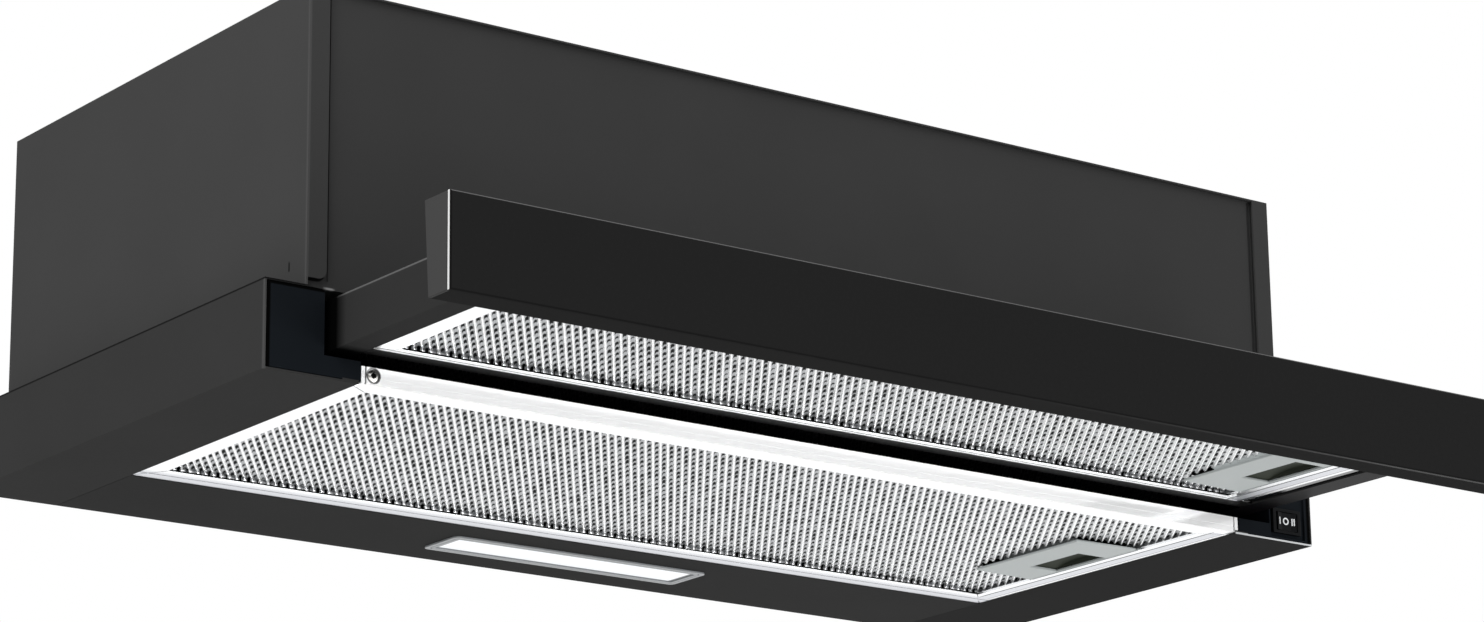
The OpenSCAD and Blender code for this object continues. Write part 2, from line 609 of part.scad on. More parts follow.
/* Filter cassettes: aluminium frame, ribbed mesh, latch housing and spring catch */
tongue_at = [0.18, 0.64];
tongue_w = 16;
tongue_l = 4;
groove_w = 0.7;
groove_d = 0.5;
groove_at = 9.6;
border = 2;
latch_gap = 0.5;
rib = [[0, 1], [0.14, 0.93], [0.27, 0.66], [0.37, 0.26], [0.45, 0], [0.61, 0], [0.69, 0.26], [0.79, 0.66], [0.92, 0.93]];
module tongues(f, side, grow) for (q = tongue_at) {
    y = f[2] + q * (f[3] - f[2]);
    block([f[0] - tongue_l - grow, y - grow, f[4] + 1.9 - grow], [f[0] + 1, y + tongue_w + grow, f[4] + 3.1 + side]);
}
module filter_frame(f, mid, rear) {
    top = f[4] + filter_t;
    hole = [[f[0] + frame_left, f[2] + frame_front], [f[1] - frame_right, f[3] - rear]];
    difference() {
        union() {
            block([f[0], f[2], f[4]], [f[1], f[3], top]);
            tongues(f, 0, 0);
        }
        block([f[0] + frame_t, f[2] + frame_t, f[4] + frame_t], [f[1] - frame_t, f[3] - frame_t, top - frame_t]);
        translate([0, 0, f[4] - 1]) linear_extrude(frame_t + 2) translate(hole[0]) square(hole[1] - hole[0]);
        block([f[0] + frame_top, f[2] + frame_top, top - frame_t - 1], [f[1] - frame_top, f[3] - frame_top, top + 1]);
        // seat of the latch housing, and the slot that its catch comes out of
        translate([f[1], mid, f[4] - 1]) linear_extrude(frame_t + 2) latch_outline(latch_gap);
        block([f[1] - frame_t - 1, mid - 7.4, f[4] + catch_rest - slip], [f[1] + 1, mid + 7.4, f[4] + catch_z + catch_t + slip]);
        // grooves of the extruded profile, and its mitred corners
        block([f[0] - 1, f[3] - rear / 2, f[4] - 1], [f[1] + 1, f[3] - rear / 2 + groove_w, f[4] + groove_d]);
        block([f[1] - groove_at, f[2] + frame_front, f[4] - 1], [f[1] - groove_at + groove_w, f[3] - rear, f[4] + groove_d]);
        for (x = [0, 1], y = [0, 1]) translate([0, 0, f[4] - 1]) linear_extrude(1 + groove_d)
            mitre([f[x], f[2 + y]], [hole[x].x, hole[y].y], groove_w / 2);
    }
}
module mitre(a, b, w) polygon([[a.x - w, a.y], [a.x + w, a.y], [b.x + w, b.y], [b.x - w, b.y]]);
module filter_mesh(f, mid, rear) {
    rim = [f[0] + frame_t + slip, f[2] + frame_t + slip, f[1] - frame_t - slip, f[3] - frame_t - slip];
    lo = f[4] + frame_t + mesh_lift;
    hi = lo + mesh_t;
    reach = norm([f[1] - f[0], f[3] - f[2]]) / 2 + rib_pitch;
    n = ceil(reach / rib_pitch);
    difference() {
        union() {
            intersection() {
                block([rim[0], rim[1], lo], [rim[2], rim[3], hi]);
                translate([(rim[0] + rim[2]) / 2, (f[2] + f[3]) / 2, lo]) rotate([0, 0, -rib_turn]) along_y(-reach, reach)
                    polygon(concat([[n * rib_pitch, mesh_t], [-n * rib_pitch, mesh_t]],
                        [for (i = [-n:n - 1], q = rib) [(i + q[0]) * rib_pitch, q[1] * rib_h]]));
            }
            // crimped border that lies on the frame's inner edge
            difference() {
                block([rim[0], rim[1], f[4] + frame_t], [rim[2], rim[3], lo + rib_h + eps]);
                block([f[0] + frame_left - border, f[2] + frame_front - border, f[4]],
                      [f[1] - frame_right + border, f[3] - rear + border, hi]);
            }
        }
        translate([f[1], mid, f[4]]) linear_extrude(filter_t) latch_outline(latch_gap);
        block([f[1] - plate_right - 1, mid - 7.4, f[4]], [f[1] + 1, mid + 7.4, f[4] + filter_t]);
    }
}
module latch_outline(grow) polygon([[-plate_left - grow, -plate_half_l - grow], [-plate_right + grow, -plate_half_r - grow],
    [-plate_right + grow, plate_half_r + grow], [-plate_left - grow, plate_half_l + grow]]);
module latch_plate(f, mid) translate([f[1], mid, f[4]]) difference() {
    union() {
        translate([0, 0, 0.1]) linear_extrude(plate_z - 0.1) latch_outline(0);
        block([-plate_left + 6, -catch_half - 4, 0.5], [-plate_right, catch_half + 4, filter_t - frame_t - 0.2]);
    }
    block([-plate_left + 7, -catch_half - fit, catch_z - slip], [0, catch_half + fit, catch_z + catch_t + slip]);
    block([-catch_mid - window_l / 2, -window_half, -1], [-catch_mid + window_l / 2, window_half, catch_z]);
}
module latch_catch(f, mid) translate([f[1], mid, f[4]]) difference() {
    union() {
        block([-catch_mid - window_l / 2 - 5, -catch_half, catch_z], [-plate_right - 1, catch_half, catch_z + catch_t]);
        block([-plate_right - 1.5, -7, catch_rest], [4.2, 7, catch_z + catch_t]);
    }
    // scoop for the finger
    rod_x(-catch_mid - window_l / 2 + 0.4, -catch_mid + window_l / 2 - 0.6, 0, catch_z + scoop_d - scoop_r, scoop_r, 192);
}
module filter_1_frame() color("#dfe2e4") seat() filter_frame(filter_1, latch_1, frame_rear);
module filter_1_mesh() color("#c9cccd") seat() filter_mesh(filter_1, latch_1, frame_rear);
module filter_1_latch_plate() color("#b0b5b8") seat() latch_plate(filter_1, latch_1);
module filter_1_catch() color("#35372f") seat() latch_catch(filter_1, latch_1);
module filter_2_frame() color("#dfe2e4") seat() drawn_out() filter_frame(filter_2, latch_2, slide_frame_rear);
module filter_2_mesh() color("#c9cccd") seat() drawn_out() filter_mesh(filter_2, latch_2, slide_frame_rear);
module filter_2_latch_plate() color("#b0b5b8") seat() drawn_out() latch_plate(filter_2, latch_2);
module filter_2_catch() color("#35372f") seat() drawn_out() latch_catch(filter_2, latch_2);

/* Blower: a scroll in two halves round a double impeller, whose motor sits inside its left blades */
function scroll_r(a, grow) = wheel_r + tongue_gap + grow + scroll_growth * (a - tongue_a) / (360 - tongue_a);
function scroll_point(a, grow) = [fan_y + scroll_r(a, grow) * cos(a), fan_z + scroll_r(a, grow) * sin(a)];
function scroll_outline(grow) = concat(
    [for (i = [0:scroll_steps]) scroll_point(tongue_a + (360 - tongue_a) * i / scroll_steps, grow)],
    [[outlet_y + throat_half + grow, scroll_top - 22], [outlet_y + throat_half + grow, scroll_top + grow],
     [outlet_y - throat_half - grow, scroll_top + grow], [outlet_y - throat_half - grow, scroll_top - 3]]);
module scroll_half_shell(inlet) difference() {
    union() {
        along_x(0, scroll_half) polygon(scroll_outline(scroll_wall));
        along_x(0, 2) polygon(scroll_outline(scroll_wall + 2));
        rod_x(scroll_half, scroll_half + 3, fan_y, fan_z, inlet + 3);
    }
    along_x(-1, scroll_half - scroll_wall) polygon(scroll_outline(0));
    translate([scroll_half - scroll_wall - 1, fan_y, fan_z]) rotate([0, 90, 0])
        cylinder(r = inlet, h = scroll_wall + 5);
    block([-1, 0, scroll_top - eps], [scroll_half + 5, base_d, body_top + 10]);
}
module scroll_tabs() difference() {
    for (y = scroll_tab_y) block([scroll_half - scroll_wall, y - 7, scroll_top - 3], [scroll_half + 14, y + 7, scroll_top]);
    for (y = scroll_tab_y) rod_z(scroll_top - 4, scroll_top + 1, scroll_half + 8, y, 1.7);
    along_x(-1, scroll_half - scroll_wall) polygon(scroll_outline(0));
}
module blower_scroll_left() color("#2f3133") seat() mirror([1, 0, 0]) {
    scroll_half_shell(inlet_r);
    scroll_tabs();
}
module blower_scroll_right() color("#2f3133") seat() {
    scroll_half_shell(inlet_r);
    scroll_tabs();
}
module scroll_screws() color("#8b8f93") seat() for (s = [0, 1], y = scroll_tab_y) mirror([s, 0, 0])
    translate([scroll_half + 8, y, scroll_top - 3]) {
        rotate([180, 0, 0]) pan_head(3, 1.6);
        cylinder(r = 1.6, h = 5.5);
    }
module scroll_clips() color("#a9adb0") seat() for (a = [110:50:310]) {
    p = scroll_point(a, scroll_wall + 2);
    translate([0, p.x, p.y]) rotate([a, 0, 0]) difference() {
        block([-3, -1.5, -5], [3, 1.2, 5]);
        block([-2.1, -3, -6], [2.1, 0.4, 6]);
    }
}
// Blade of the impeller: an arc whose ends lie on the wheel's two radii
module blade() linear_extrude(blade_l + eps) difference() {
    translate([wheel_in + blade_d / 2, -blade_sag]) circle(blade_r, $fn = 24);
    translate([wheel_in + blade_d / 2, -blade_sag]) circle(blade_r - blade_t, $fn = 24);
    translate([wheel_in - 2, -2 * blade_r - blade_sag]) square([blade_d + 4, 2 * blade_r + blade_sag]);
}
module impeller() color("#1d1f21") seat() translate([0, fan_y, fan_z]) rotate([0, 90, 0]) difference() {
    union() {
        translate([0, 0, -1]) cylinder(r = wheel_r, h = 2);
        translate([0, 0, -5]) cylinder(r = 10, h = 22);
        for (s = [0, 1]) mirror([0, 0, s]) {
            for (i = [0:blade_n - 1]) rotate([0, 0, i * 360 / blade_n]) translate([0, 0, 1 - eps]) blade();
            translate([0, 0, blade_l]) difference() {
                cylinder(r = wheel_r, h = 3);
                translate([0, 0, -1]) cylinder(r = wheel_in + 1, h = 5);
            }
        }
    }
    translate([0, 0, -6]) cylinder(r = shaft_r, h = 30);
}
module motor_shaft() color("#8f9498") seat() rod_x(-scroll_half - 1, 16, fan_y, fan_z, shaft_r);
module motor() color("#5a5d60") seat() translate([-7, fan_y, fan_z]) rotate([0, -90, 0]) difference() {
    union() {
        cylinder(r = motor_r - 3, h = scroll_half - 7);
        translate([0, 0, 8]) cylinder(r = motor_r, h = scroll_half - 26);
    }
    translate([0, 0, -1]) cylinder(r = shaft_r + 0.06, h = scroll_half + 2);
    for (a = [0:30:330]) rotate([0, 0, a + 15]) translate([motor_r - 8, 0, -1]) cylinder(r = 2.2, h = 5);
}
module motor_bracket() color("#a9adb0") seat() translate([-scroll_half - 3, fan_y, fan_z]) rotate([0, -90, 0])
    difference() {
        union() {
            difference() {
                cylinder(r = inlet_r + 6, h = 1.5);
                translate([0, 0, -1]) cylinder(r = inlet_r, h = 4);
            }
            cylinder(r = motor_r - 4, h = 1.5);
            translate([0, 0, -3]) cylinder(r = motor_r - 6, h = 4);
            for (a = [90, 210, 330]) rotate([0, 0, a]) block([motor_r - 6, -5, 0], [inlet_r + 2, 5, 1.5]);
        }
        translate([0, 0, -4]) cylinder(r = shaft_r + 4, h = 8);
        for (a = [90, 210, 330]) rotate([0, 0, a]) translate([inlet_r + 3, 0, -1]) cylinder(r = 1.7, h = 4);
    }
module motor_screws() color("#8b8f93") seat() translate([-scroll_half - 4.5, fan_y, fan_z]) rotate([0, -90, 0])
    for (a = [90, 210, 330]) rotate([0, 0, a]) translate([inlet_r + 3, 0, 0]) {
        cylinder(r = 3, h = 2);
        translate([0, 0, -1.5]) cylinder(r = 1.6, h = 2);
    }
module inlet_guard() color("#232527") seat() translate([scroll_half + 3, fan_y, fan_z]) rotate([0, 90, 0]) {
    for (r = [12:10:inlet_r + 2]) difference() {
        cylinder(r = r + 1, h = 2);
        translate([0, 0, -1]) cylinder(r = r - 1, h = 4);
    }
    for (a = [0:60:120]) rotate([0, 0, a]) block([-inlet_r - 2, -0.8, 0.4], [inlet_r + 2, 0.8, 1.6]);
    translate([0, 0, 0.2]) cylinder(r = 4, h = 1.6);
}

/* Electrics: control box with capacitor and terminals, and the gland for the mains lead */
module box_place() seat() translate([box_x0, box_y0, scroll_top - box_h]) children();
module control_box() color("#26282a") box_place() difference() {
    cube([box_l, box_w, box_h]);
    translate([2, 2, -1]) cube([box_l - 4, box_w - 4, box_h - 1]);
    translate([box_l / 2, box_w / 2, box_h - 4]) cylinder(r = gland_r + slip, h = 8);
}
module control_box_lid() color("#2c2e30") box_place() {
    translate([-1, -1, -2]) cube([box_l + 2, box_w + 2, 2]);
    translate([2 + slip, 2 + slip, 0]) difference() {
        cube([box_l - 4 - 2 * slip, box_w - 4 - 2 * slip, 3]);
        translate([1.5, 1.5, -1]) cube([box_l - 7 - 2 * slip, box_w - 7 - 2 * slip, 5]);
    }
}
module terminal_block() color("#e8e6de") box_place() translate([6, 8, box_h - 2 - 14]) difference() {
    cube([14, 44, 14]);
    for (i = [0:3]) translate([7, 6.5 + i * 10.3, -1]) cylinder(r = 2.4, h = 9);
    for (i = [0:3]) translate([-1, 6.5 + i * 10.3, 9]) rotate([0, 90, 0]) cylinder(r = 1.8, h = 16);
}
cap_l = 46;
module capacitor() color("#d9dadb") box_place() rod_y(box_w - 14 - cap_l, box_w - 14, -18, box_h - 18, 15);
module capacitor_clip() color("#a9adb0") box_place() translate([0, box_w - cap_l, 0]) difference() {
    union() {
        rod_y(0, 12, -18, box_h - 18, 16);
        block([-34, 0, box_h - 1], [-2, 12, box_h]);
        block([-20, 0, box_h - 3], [-16, 12, box_h]);
    }
    rod_y(-1, 13, -18, box_h - 18, 15);
}
module cable_gland() color("#1b1c1e") seat() translate([gland.x, gland.y, 0]) difference() {
    union() {
        rod_z(scroll_top - 12, body_top + 1, 0, 0, gland_r);
        translate([0, 0, body_top]) cylinder(r = gland_r + 4.5, h = 5, $fn = 6);
        rod_z(body_top + 5, body_top + 14, 0, 0, gland_r + 1.5);
        translate([0, 0, body_top + 14]) rotate_extrude() difference() {
            square([gland_r + 1.5, 5]);
            translate([gland_r + 1.5, 5]) circle(4);
        }
    }
    rod_z(scroll_top - 13, body_top + 20, 0, 0, lead_d / 2);
}
module cable_gland_nut() color("#1b1c1e") seat() translate([gland.x, gland.y, scroll_top - 8]) difference() {
    cylinder(r = gland_r + 4.5, h = 6, $fn = 6);
    translate([0, 0, -1]) cylinder(r = gland_r, h = 8);
}

/* Outlet: duct collar with two gravity flaps on one rod */
module outlet_collar() color("#1f2124") seat() translate([0, outlet_y, 0]) difference() {
    union() {
        rod_z(scroll_top, body_top + collar_h, 0, 0, duct_r);
        rod_z(body_top, body_top + 2, 0, 0, collar_flange_r);
    }
    difference() {
        rod_z(scroll_top - 1, body_top + collar_h + 1, 0, 0, duct_r - collar_wall);
        difference() {
            rod_z(body_top, body_top + 1.9, 0, 0, duct_r);
            rod_z(body_top - 1, body_top + 3, 0, 0, duct_r - collar_wall - 3.5);
        }
    }
    rod_x(-duct_r + 0.8, duct_r - 0.8, 0, rod_z, rod_d / 2);
    for (a = [45:90:315]) rod_z(body_top - 1, body_top + 3, collar_screw_r * cos(a), collar_screw_r * sin(a), 1.7);
}
module collar_screws() color("#8b8f93") seat() translate([0, outlet_y, body_top + 2]) for (a = [45:90:315])
    translate([collar_screw_r * cos(a), collar_screw_r * sin(a), 0]) {
        pan_head(3.2, 1.8);
        translate([0, 0, -4]) cylinder(r = 1.6, h = 4.1);
    }
// One flap, lying towards -Y from the rod; its knuckles sit at the given places along the rod
knuckle_r = rod_d / 2 + 1.1;
knuckle_l = 12;
module flap(places) difference() {
    union() {
        intersection() {
            translate([0, 0, -1.6]) cylinder(r = duct_r - collar_wall - 0.9, h = flap_t, $fn = 96);
            block([-duct_r, -duct_r, -2], [duct_r, -knuckle_r - 0.3, 0]);
        }
        for (x = places) {
            rod_x(x, x + knuckle_l, 0, 0, knuckle_r);
            block([x, -knuckle_r - 1, -1.6], [x + knuckle_l, -rod_d / 2, -1.6 + flap_t]);
        }
    }
    rod_x(-duct_r, duct_r, 0, 0, rod_d / 2 + 0.06);
}
module flap_front() color("#2a2c2f") seat() translate([0, outlet_y, rod_z]) flap([-44, 6]);
module flap_rear() color("#2a2c2f") seat() translate([0, outlet_y, rod_z]) rotate([0, 0, 180]) flap([-44, 6]);
module flap_rod() color("#b5b8ba") seat() rod_x(-duct_r + 0.8, duct_r - 0.8, outlet_y, rod_z, rod_d / 2);

housing_shell();
front_panel();
rear_panel();
base_side_left();
base_side_right();
light_panel();
front_cap_left();
front_cap_right();
front_rail();
front_rail_screw();
switch_body();
rocker();
light_bezel();
light_lens();
light_board();
slide_rail_left();
slide_rail_right();
slide_rail_screws();
arm_left();
arm_right();
glides_left();
glides_right();
slide_tray();
visor_body();
visor_front_plate();
visor_end_left();
visor_end_right();
visor_screws();
filter_1_frame();
filter_1_mesh();
filter_1_latch_plate();
filter_1_catch();
filter_2_frame();
filter_2_mesh();
filter_2_latch_plate();
filter_2_catch();
blower_scroll_left();
blower_scroll_right();
scroll_clips();
scroll_screws();
impeller();
motor_shaft();
motor();
motor_bracket();
motor_screws();
inlet_guard();
capacitor();
capacitor_clip();
control_box();
control_box_lid();
terminal_block();
cable_gland();
cable_gland_nut();
outlet_collar();
collar_screws();
flap_front();
flap_rear();
flap_rod();
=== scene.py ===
# %% [markdown]
# # A slide-out cooker hood, finished in Blender
#
# The hood arrives as a fixed frame: every sheet, moulding, screw and joint has its shape and its place
# already. What Blender adds is the surface of each piece, the marks that are too fine for the frame, and a
# studio.

import json
import math
from types import SimpleNamespace

import bpy
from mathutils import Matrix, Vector


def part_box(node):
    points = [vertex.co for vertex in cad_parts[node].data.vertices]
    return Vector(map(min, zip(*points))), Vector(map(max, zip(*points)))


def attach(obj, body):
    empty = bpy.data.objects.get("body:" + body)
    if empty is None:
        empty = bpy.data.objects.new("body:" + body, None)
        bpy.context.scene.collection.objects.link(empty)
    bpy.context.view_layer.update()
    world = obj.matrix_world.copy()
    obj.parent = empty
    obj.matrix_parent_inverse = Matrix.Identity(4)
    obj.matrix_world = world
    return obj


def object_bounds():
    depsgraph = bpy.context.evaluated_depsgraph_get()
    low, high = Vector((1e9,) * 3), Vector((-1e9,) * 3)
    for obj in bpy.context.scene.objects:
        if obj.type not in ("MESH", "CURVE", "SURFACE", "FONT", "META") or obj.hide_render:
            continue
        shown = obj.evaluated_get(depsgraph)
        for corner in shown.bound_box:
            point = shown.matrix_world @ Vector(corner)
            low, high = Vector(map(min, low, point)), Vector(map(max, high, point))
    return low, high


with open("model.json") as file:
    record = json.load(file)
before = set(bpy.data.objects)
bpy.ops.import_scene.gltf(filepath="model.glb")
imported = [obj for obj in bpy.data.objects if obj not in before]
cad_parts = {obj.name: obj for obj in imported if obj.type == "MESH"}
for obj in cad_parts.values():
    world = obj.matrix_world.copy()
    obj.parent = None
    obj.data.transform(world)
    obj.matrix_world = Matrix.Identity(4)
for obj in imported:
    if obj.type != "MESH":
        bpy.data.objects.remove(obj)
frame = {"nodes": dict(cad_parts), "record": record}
nodes = frame["nodes"]
cad_low, cad_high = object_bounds()
MM = 0.001
print(len(nodes), "pieces, size in mm:", [round((b - a) / MM, 1) for a, b in zip(cad_low, cad_high)])

# %% [markdown]
# ## Colours and nodes
#
# A paint maker's colour is written as an sRGB hex value, and a shader wants linear light, so one function
# turns the one into the other. A second adds a shader node with its settings and links, which keeps every
# finish below down to a few lines that read like a recipe. A third starts a finish, and a fourth plugs in
# the three things that nearly every surface has: a tone that wanders, a gloss that wanders and a small
# relief.

# %% Helpers for finishes
def linear(hex_colour):
    channels = [int(hex_colour[i:i + 2], 16) / 255 for i in (1, 3, 5)]
    return [c / 12.92 if c <= 0.04045 else ((c + 0.055) / 1.055) ** 2.4 for c in channels] + [1.0]


def add_node(tree, kind, values=None, **settings):
    node = tree.nodes.new(kind)
    for name, value in settings.items():
        setattr(node, name, value)
    for socket, value in (values or {}).items():
        if isinstance(value, bpy.types.NodeSocket):
            tree.links.new(value, node.inputs[socket])
        else:
            node.inputs[socket].default_value = value
    return node


finishes = {}


def new_finish(name, values):
    finish = bpy.data.materials.new(name)
    finish.use_nodes = True
    tree = finish.node_tree
    tree.nodes.clear()
    shader = add_node(tree, "ShaderNodeBsdfPrincipled", values)
    add_node(tree, "ShaderNodeOutputMaterial", {"Surface": shader.outputs["BSDF"]})
    place = add_node(tree, "ShaderNodeTexCoord").outputs["Object"]
    finishes[name] = finish
    return tree, shader, place


def plug_in(tree, shader, tone=None, gloss=None, bump=None):
    if tone:
        tree.links.new(tone.outputs[2], shader.inputs["Base Color"])
    if gloss:
        tree.links.new(gloss.outputs["Result"], shader.inputs["Roughness"])
    if bump:
        tree.links.new(bump.outputs["Normal"], shader.inputs["Normal"])


print("grey card as linear light:", round(linear("#777777")[0], 3))

# %% [markdown]
# ## Powder coat and moulded plastic
#
# Both are dull dark surfaces, and they differ in their grain. Powder coat is dry paint that is melted in an
# oven and flows into a soft orange peel about a millimetre across. Injection moulded plastic copies the
# finer, sharper grain that was eroded into its mould. One loop can build both: the table gives the colours,
# the roughness, the grain's width in millimetres and its depth. Grain finer than a millimetre is drawn a
# little coarse, so that it shows. The black coats are one paint in several tones: the housing and the front
# panel are lighter, the low parts darker, and the visor's coat is painted darker still, as shade.

# %% Dull finishes, by table
DULL = {
    # name: (dark colour, light colour, roughness, grain width mm, grain depth mm, specular level)
    "powder_coat_black": ("#303030", "#353535", 0.70, 1.6, 0.010, 0.015),
    "powder_coat_black_front": ("#363636", "#3b3b3b", 0.70, 1.6, 0.010, 0.015),
    "powder_coat_black_housing": ("#3a3a3a", "#3f3f3f", 0.70, 1.6, 0.010, 0.015),
    "powder_coat_black_low": ("#2c2c2c", "#313131", 0.70, 1.6, 0.010, 0.015),
    # the visor's coat: the same black, painted darker as shade
    "powder_coat_graphite": ("#1e1e1e", "#222222", 0.70, 1.6, 0.010, 0.010),
    "abs_moulded_black": ("#12161a", "#171a1e", 0.60, 0.9, 0.012, 0.02),
    "abs_moulded_dark_grey": ("#3b3b3b", "#3f3f3f", 0.60, 0.9, 0.010, 0.03),
    "abs_moulded_gloss_black": ("#0a0b0d", "#0e0f11", 0.40, 0.9, 0.006, 0.05),
    "pp_moulded_charcoal": ("#1c1e20", "#242628", 0.50, 1.2, 0.014, 0.45),
    "pa_moulded_light_grey": ("#b0b6b6", "#b9bebe", 0.45, 0.9, 0.010, 0.20),
    "pa_moulded_olive": ("#31352e", "#383c34", 0.55, 0.9, 0.012, 0.06),
    "ink_pad_printed_white": ("#e6e9ec", "#f6f7f8", 0.50, 0.5, 0.002, 0.30),
    "pa_moulded_natural": ("#d6d1c4", "#e2ddd0", 0.38, 1.1, 0.008, 0.50),
    "pbt_moulded_cream": ("#cfccc2", "#d8d5cb", 0.42, 1.0, 0.008, 0.50),
    "silver_paint": ("#8b8e91", "#999c9f", 0.38, 0.8, 0.006, 0.50),
}
CLOUD_WIDTH = 60 * MM  # the slow drift of tone over a sprayed or moulded face
GLOSS_DRIFT = 0.06
for name, (dark, light, roughness, width, depth, specular) in DULL.items():
    tree, shader, place = new_finish(name, {"Specular IOR Level": specular})
    grain = add_node(tree, "ShaderNodeTexNoise", {
        "Vector": place, "Scale": 1 / (width * MM), "Detail": 2.0})
    cloud = add_node(tree, "ShaderNodeTexNoise", {"Vector": place, "Scale": 1 / CLOUD_WIDTH, "Detail": 3.0})
    tone = add_node(tree, "ShaderNodeMix", {0: cloud.outputs["Fac"], 6: linear(dark), 7: linear(light)},
                    data_type="RGBA")
    gloss = add_node(tree, "ShaderNodeMapRange", {
        "Value": grain.outputs["Fac"],
        "To Min": roughness - GLOSS_DRIFT, "To Max": roughness + GLOSS_DRIFT})
    bump = add_node(tree, "ShaderNodeBump", {
        "Height": grain.outputs["Fac"], "Strength": 0.5, "Distance": depth * MM})
    plug_in(tree, shader, tone, gloss, bump)
print("dull finishes:", sorted(finishes))

# %% [markdown]
# ## Bright metal
#
# The filter frames and the front rail are extruded aluminium, brushed along their length and anodised, so
# they catch the light in long fine streaks. Screws, rails and clips are steel with a thin bright zinc coat,
# which has soft cloudy crystals, and the rail's own screw is plated with nickel, which is paler and
# smoother. The shaft is ground steel. A brushed surface could use an anisotropic shader, but stretched
# noise in the roughness and the bump gives the same streaks and survives an export. The stretch is a
# Mapping node: large scale across the brush lines, small scale along them. The rail is etched to a satin
# before it is anodised. It scatters light so evenly that it looks nearer to white than to a mirror, so its
# metallic value is low, and the clear sealed skin over it is a coat with a reflection of its own.

# %% Metals, by table
METALS = {
    # name: (dark colour, light colour, metallic, roughness, streak width mm along x, y and z, depth mm)
    "aluminium_anodised": ("#eceef0", "#f8f9fa", 1.0, 0.20, (60.0, 0.7, 0.7), 0.003),
    "aluminium_anodised_satin": ("#f6f7f8", "#fefefe", 0.10, 0.32, (60.0, 0.7, 0.7), 0.003),
    "steel_zinc_plated": ("#a3a6a9", "#bfc1c2", 1.0, 0.34, (3.5, 3.5, 3.5), 0.004),
    "steel_nickel_plated": ("#e6e4e0", "#f4f2ee", 1.0, 0.22, (2.0, 2.0, 2.0), 0.003),
    "steel_ground": ("#9b9ea1", "#b4b6b8", 1.0, 0.24, (0.6, 12.0, 12.0), 0.003),
    "steel_lacquered_laminations": ("#3c3d3f", "#505255", 1.0, 0.45, (0.9, 40.0, 40.0), 0.030),
}
STREAK_DRIFT = 0.08
for name, (dark, light, metallic, roughness, streak, depth) in METALS.items():
    tree, shader, place = new_finish(name, {"Metallic": metallic})
    stretched = add_node(tree, "ShaderNodeMapping", {
        "Vector": place, "Scale": [1 / (width * MM) for width in streak]})
    streaks = add_node(tree, "ShaderNodeTexNoise", {
        "Vector": stretched.outputs[0], "Scale": 1.0, "Detail": 3.0})
    tone = add_node(tree, "ShaderNodeMix", {0: streaks.outputs["Fac"], 6: linear(dark), 7: linear(light)},
                    data_type="RGBA")
    gloss = add_node(tree, "ShaderNodeMapRange", {
        "Value": streaks.outputs["Fac"],
        "To Min": roughness - STREAK_DRIFT, "To Max": roughness + STREAK_DRIFT})
    bump = add_node(tree, "ShaderNodeBump", {
        "Height": streaks.outputs["Fac"], "Strength": 0.4, "Distance": depth * MM})
    plug_in(tree, shader, tone, gloss, bump)

satin = finishes["aluminium_anodised_satin"].node_tree.nodes["Principled BSDF"]
for socket, value in (("Coat Weight", 1.0), ("Coat IOR", 1.9), ("Coat Roughness", 0.10)):
    satin.inputs[socket].default_value = value
print("finishes so far:", len(finishes))

# %% [markdown]
# ## Gloss black
#
# The underside of the slide is enamelled sheet that mirrors the filter next to it, and the visor's front is
# a back-painted plate with a silky face. Both are almost black. A faint waviness breaks up what they
# reflect, which is what tells a real sheet from a perfect plane, and fine dust makes the gloss uneven.

# %% Enamel and back-painted plate
DUST_WIDTH = 2.0 * MM
for name, colour, roughness, wave, depth, specular in [
        ("enamel_gloss_black", "#050505", 0.07, 35, 0.05, 0.5),
        ("glass_back_painted_black", "#1f1f1f", 0.25, 120, 0.02, 0.015)]:
    tree, shader, place = new_finish(name, {"Base Color": linear(colour), "Specular IOR Level": specular})
    waves = add_node(tree, "ShaderNodeTexNoise", {"Vector": place, "Scale": 1 / (wave * MM), "Detail": 1.0})
    dust = add_node(tree, "ShaderNodeTexNoise", {"Vector": place, "Scale": 1 / DUST_WIDTH, "Detail": 4.0})
    gloss = add_node(tree, "ShaderNodeMapRange", {
        "Value": dust.outputs["Fac"], "To Min": roughness * 0.7, "To Max": roughness * 1.4})
    bump = add_node(tree, "ShaderNodeBump", {
        "Height": waves.outputs["Fac"], "Strength": 0.3, "Distance": depth * MM})
    plug_in(tree, shader, gloss=gloss, bump=bump)
print("finishes so far:", len(finishes))

# %% [markdown]
# ## Ribbed aluminium mesh
#
# A grease filter holds several layers of pierced aluminium foil, and the outer one is pressed into ribs
# that run slantwise over the cassette. The ribs are real shape. The holes sit in the grooves and are a
# pattern, laid out in the ribs' own directions: a Mapping node turns the coordinates until one axis runs
# along the ribs, and two cosines then tell groove from ridge and hole from metal. A real hole is about a
# millimetre across. Here the holes lie 8.6 mm apart, much coarser than life, because finer ones melt into
# grey. The layers behind lie crumpled, so a slow noise widens some holes and closes others. What shows in a
# hole is dark and no longer metal.

# %% Groove and hole, as two masks
RIB_PITCH = 3.35 * MM
RIB_TURN = math.radians(35.7)
HOLE_PITCH = 8.6 * MM
CRUMPLE = (5 * MM, 12 * MM)  # across and along the ribs
FULL_TURN = 2 * math.pi


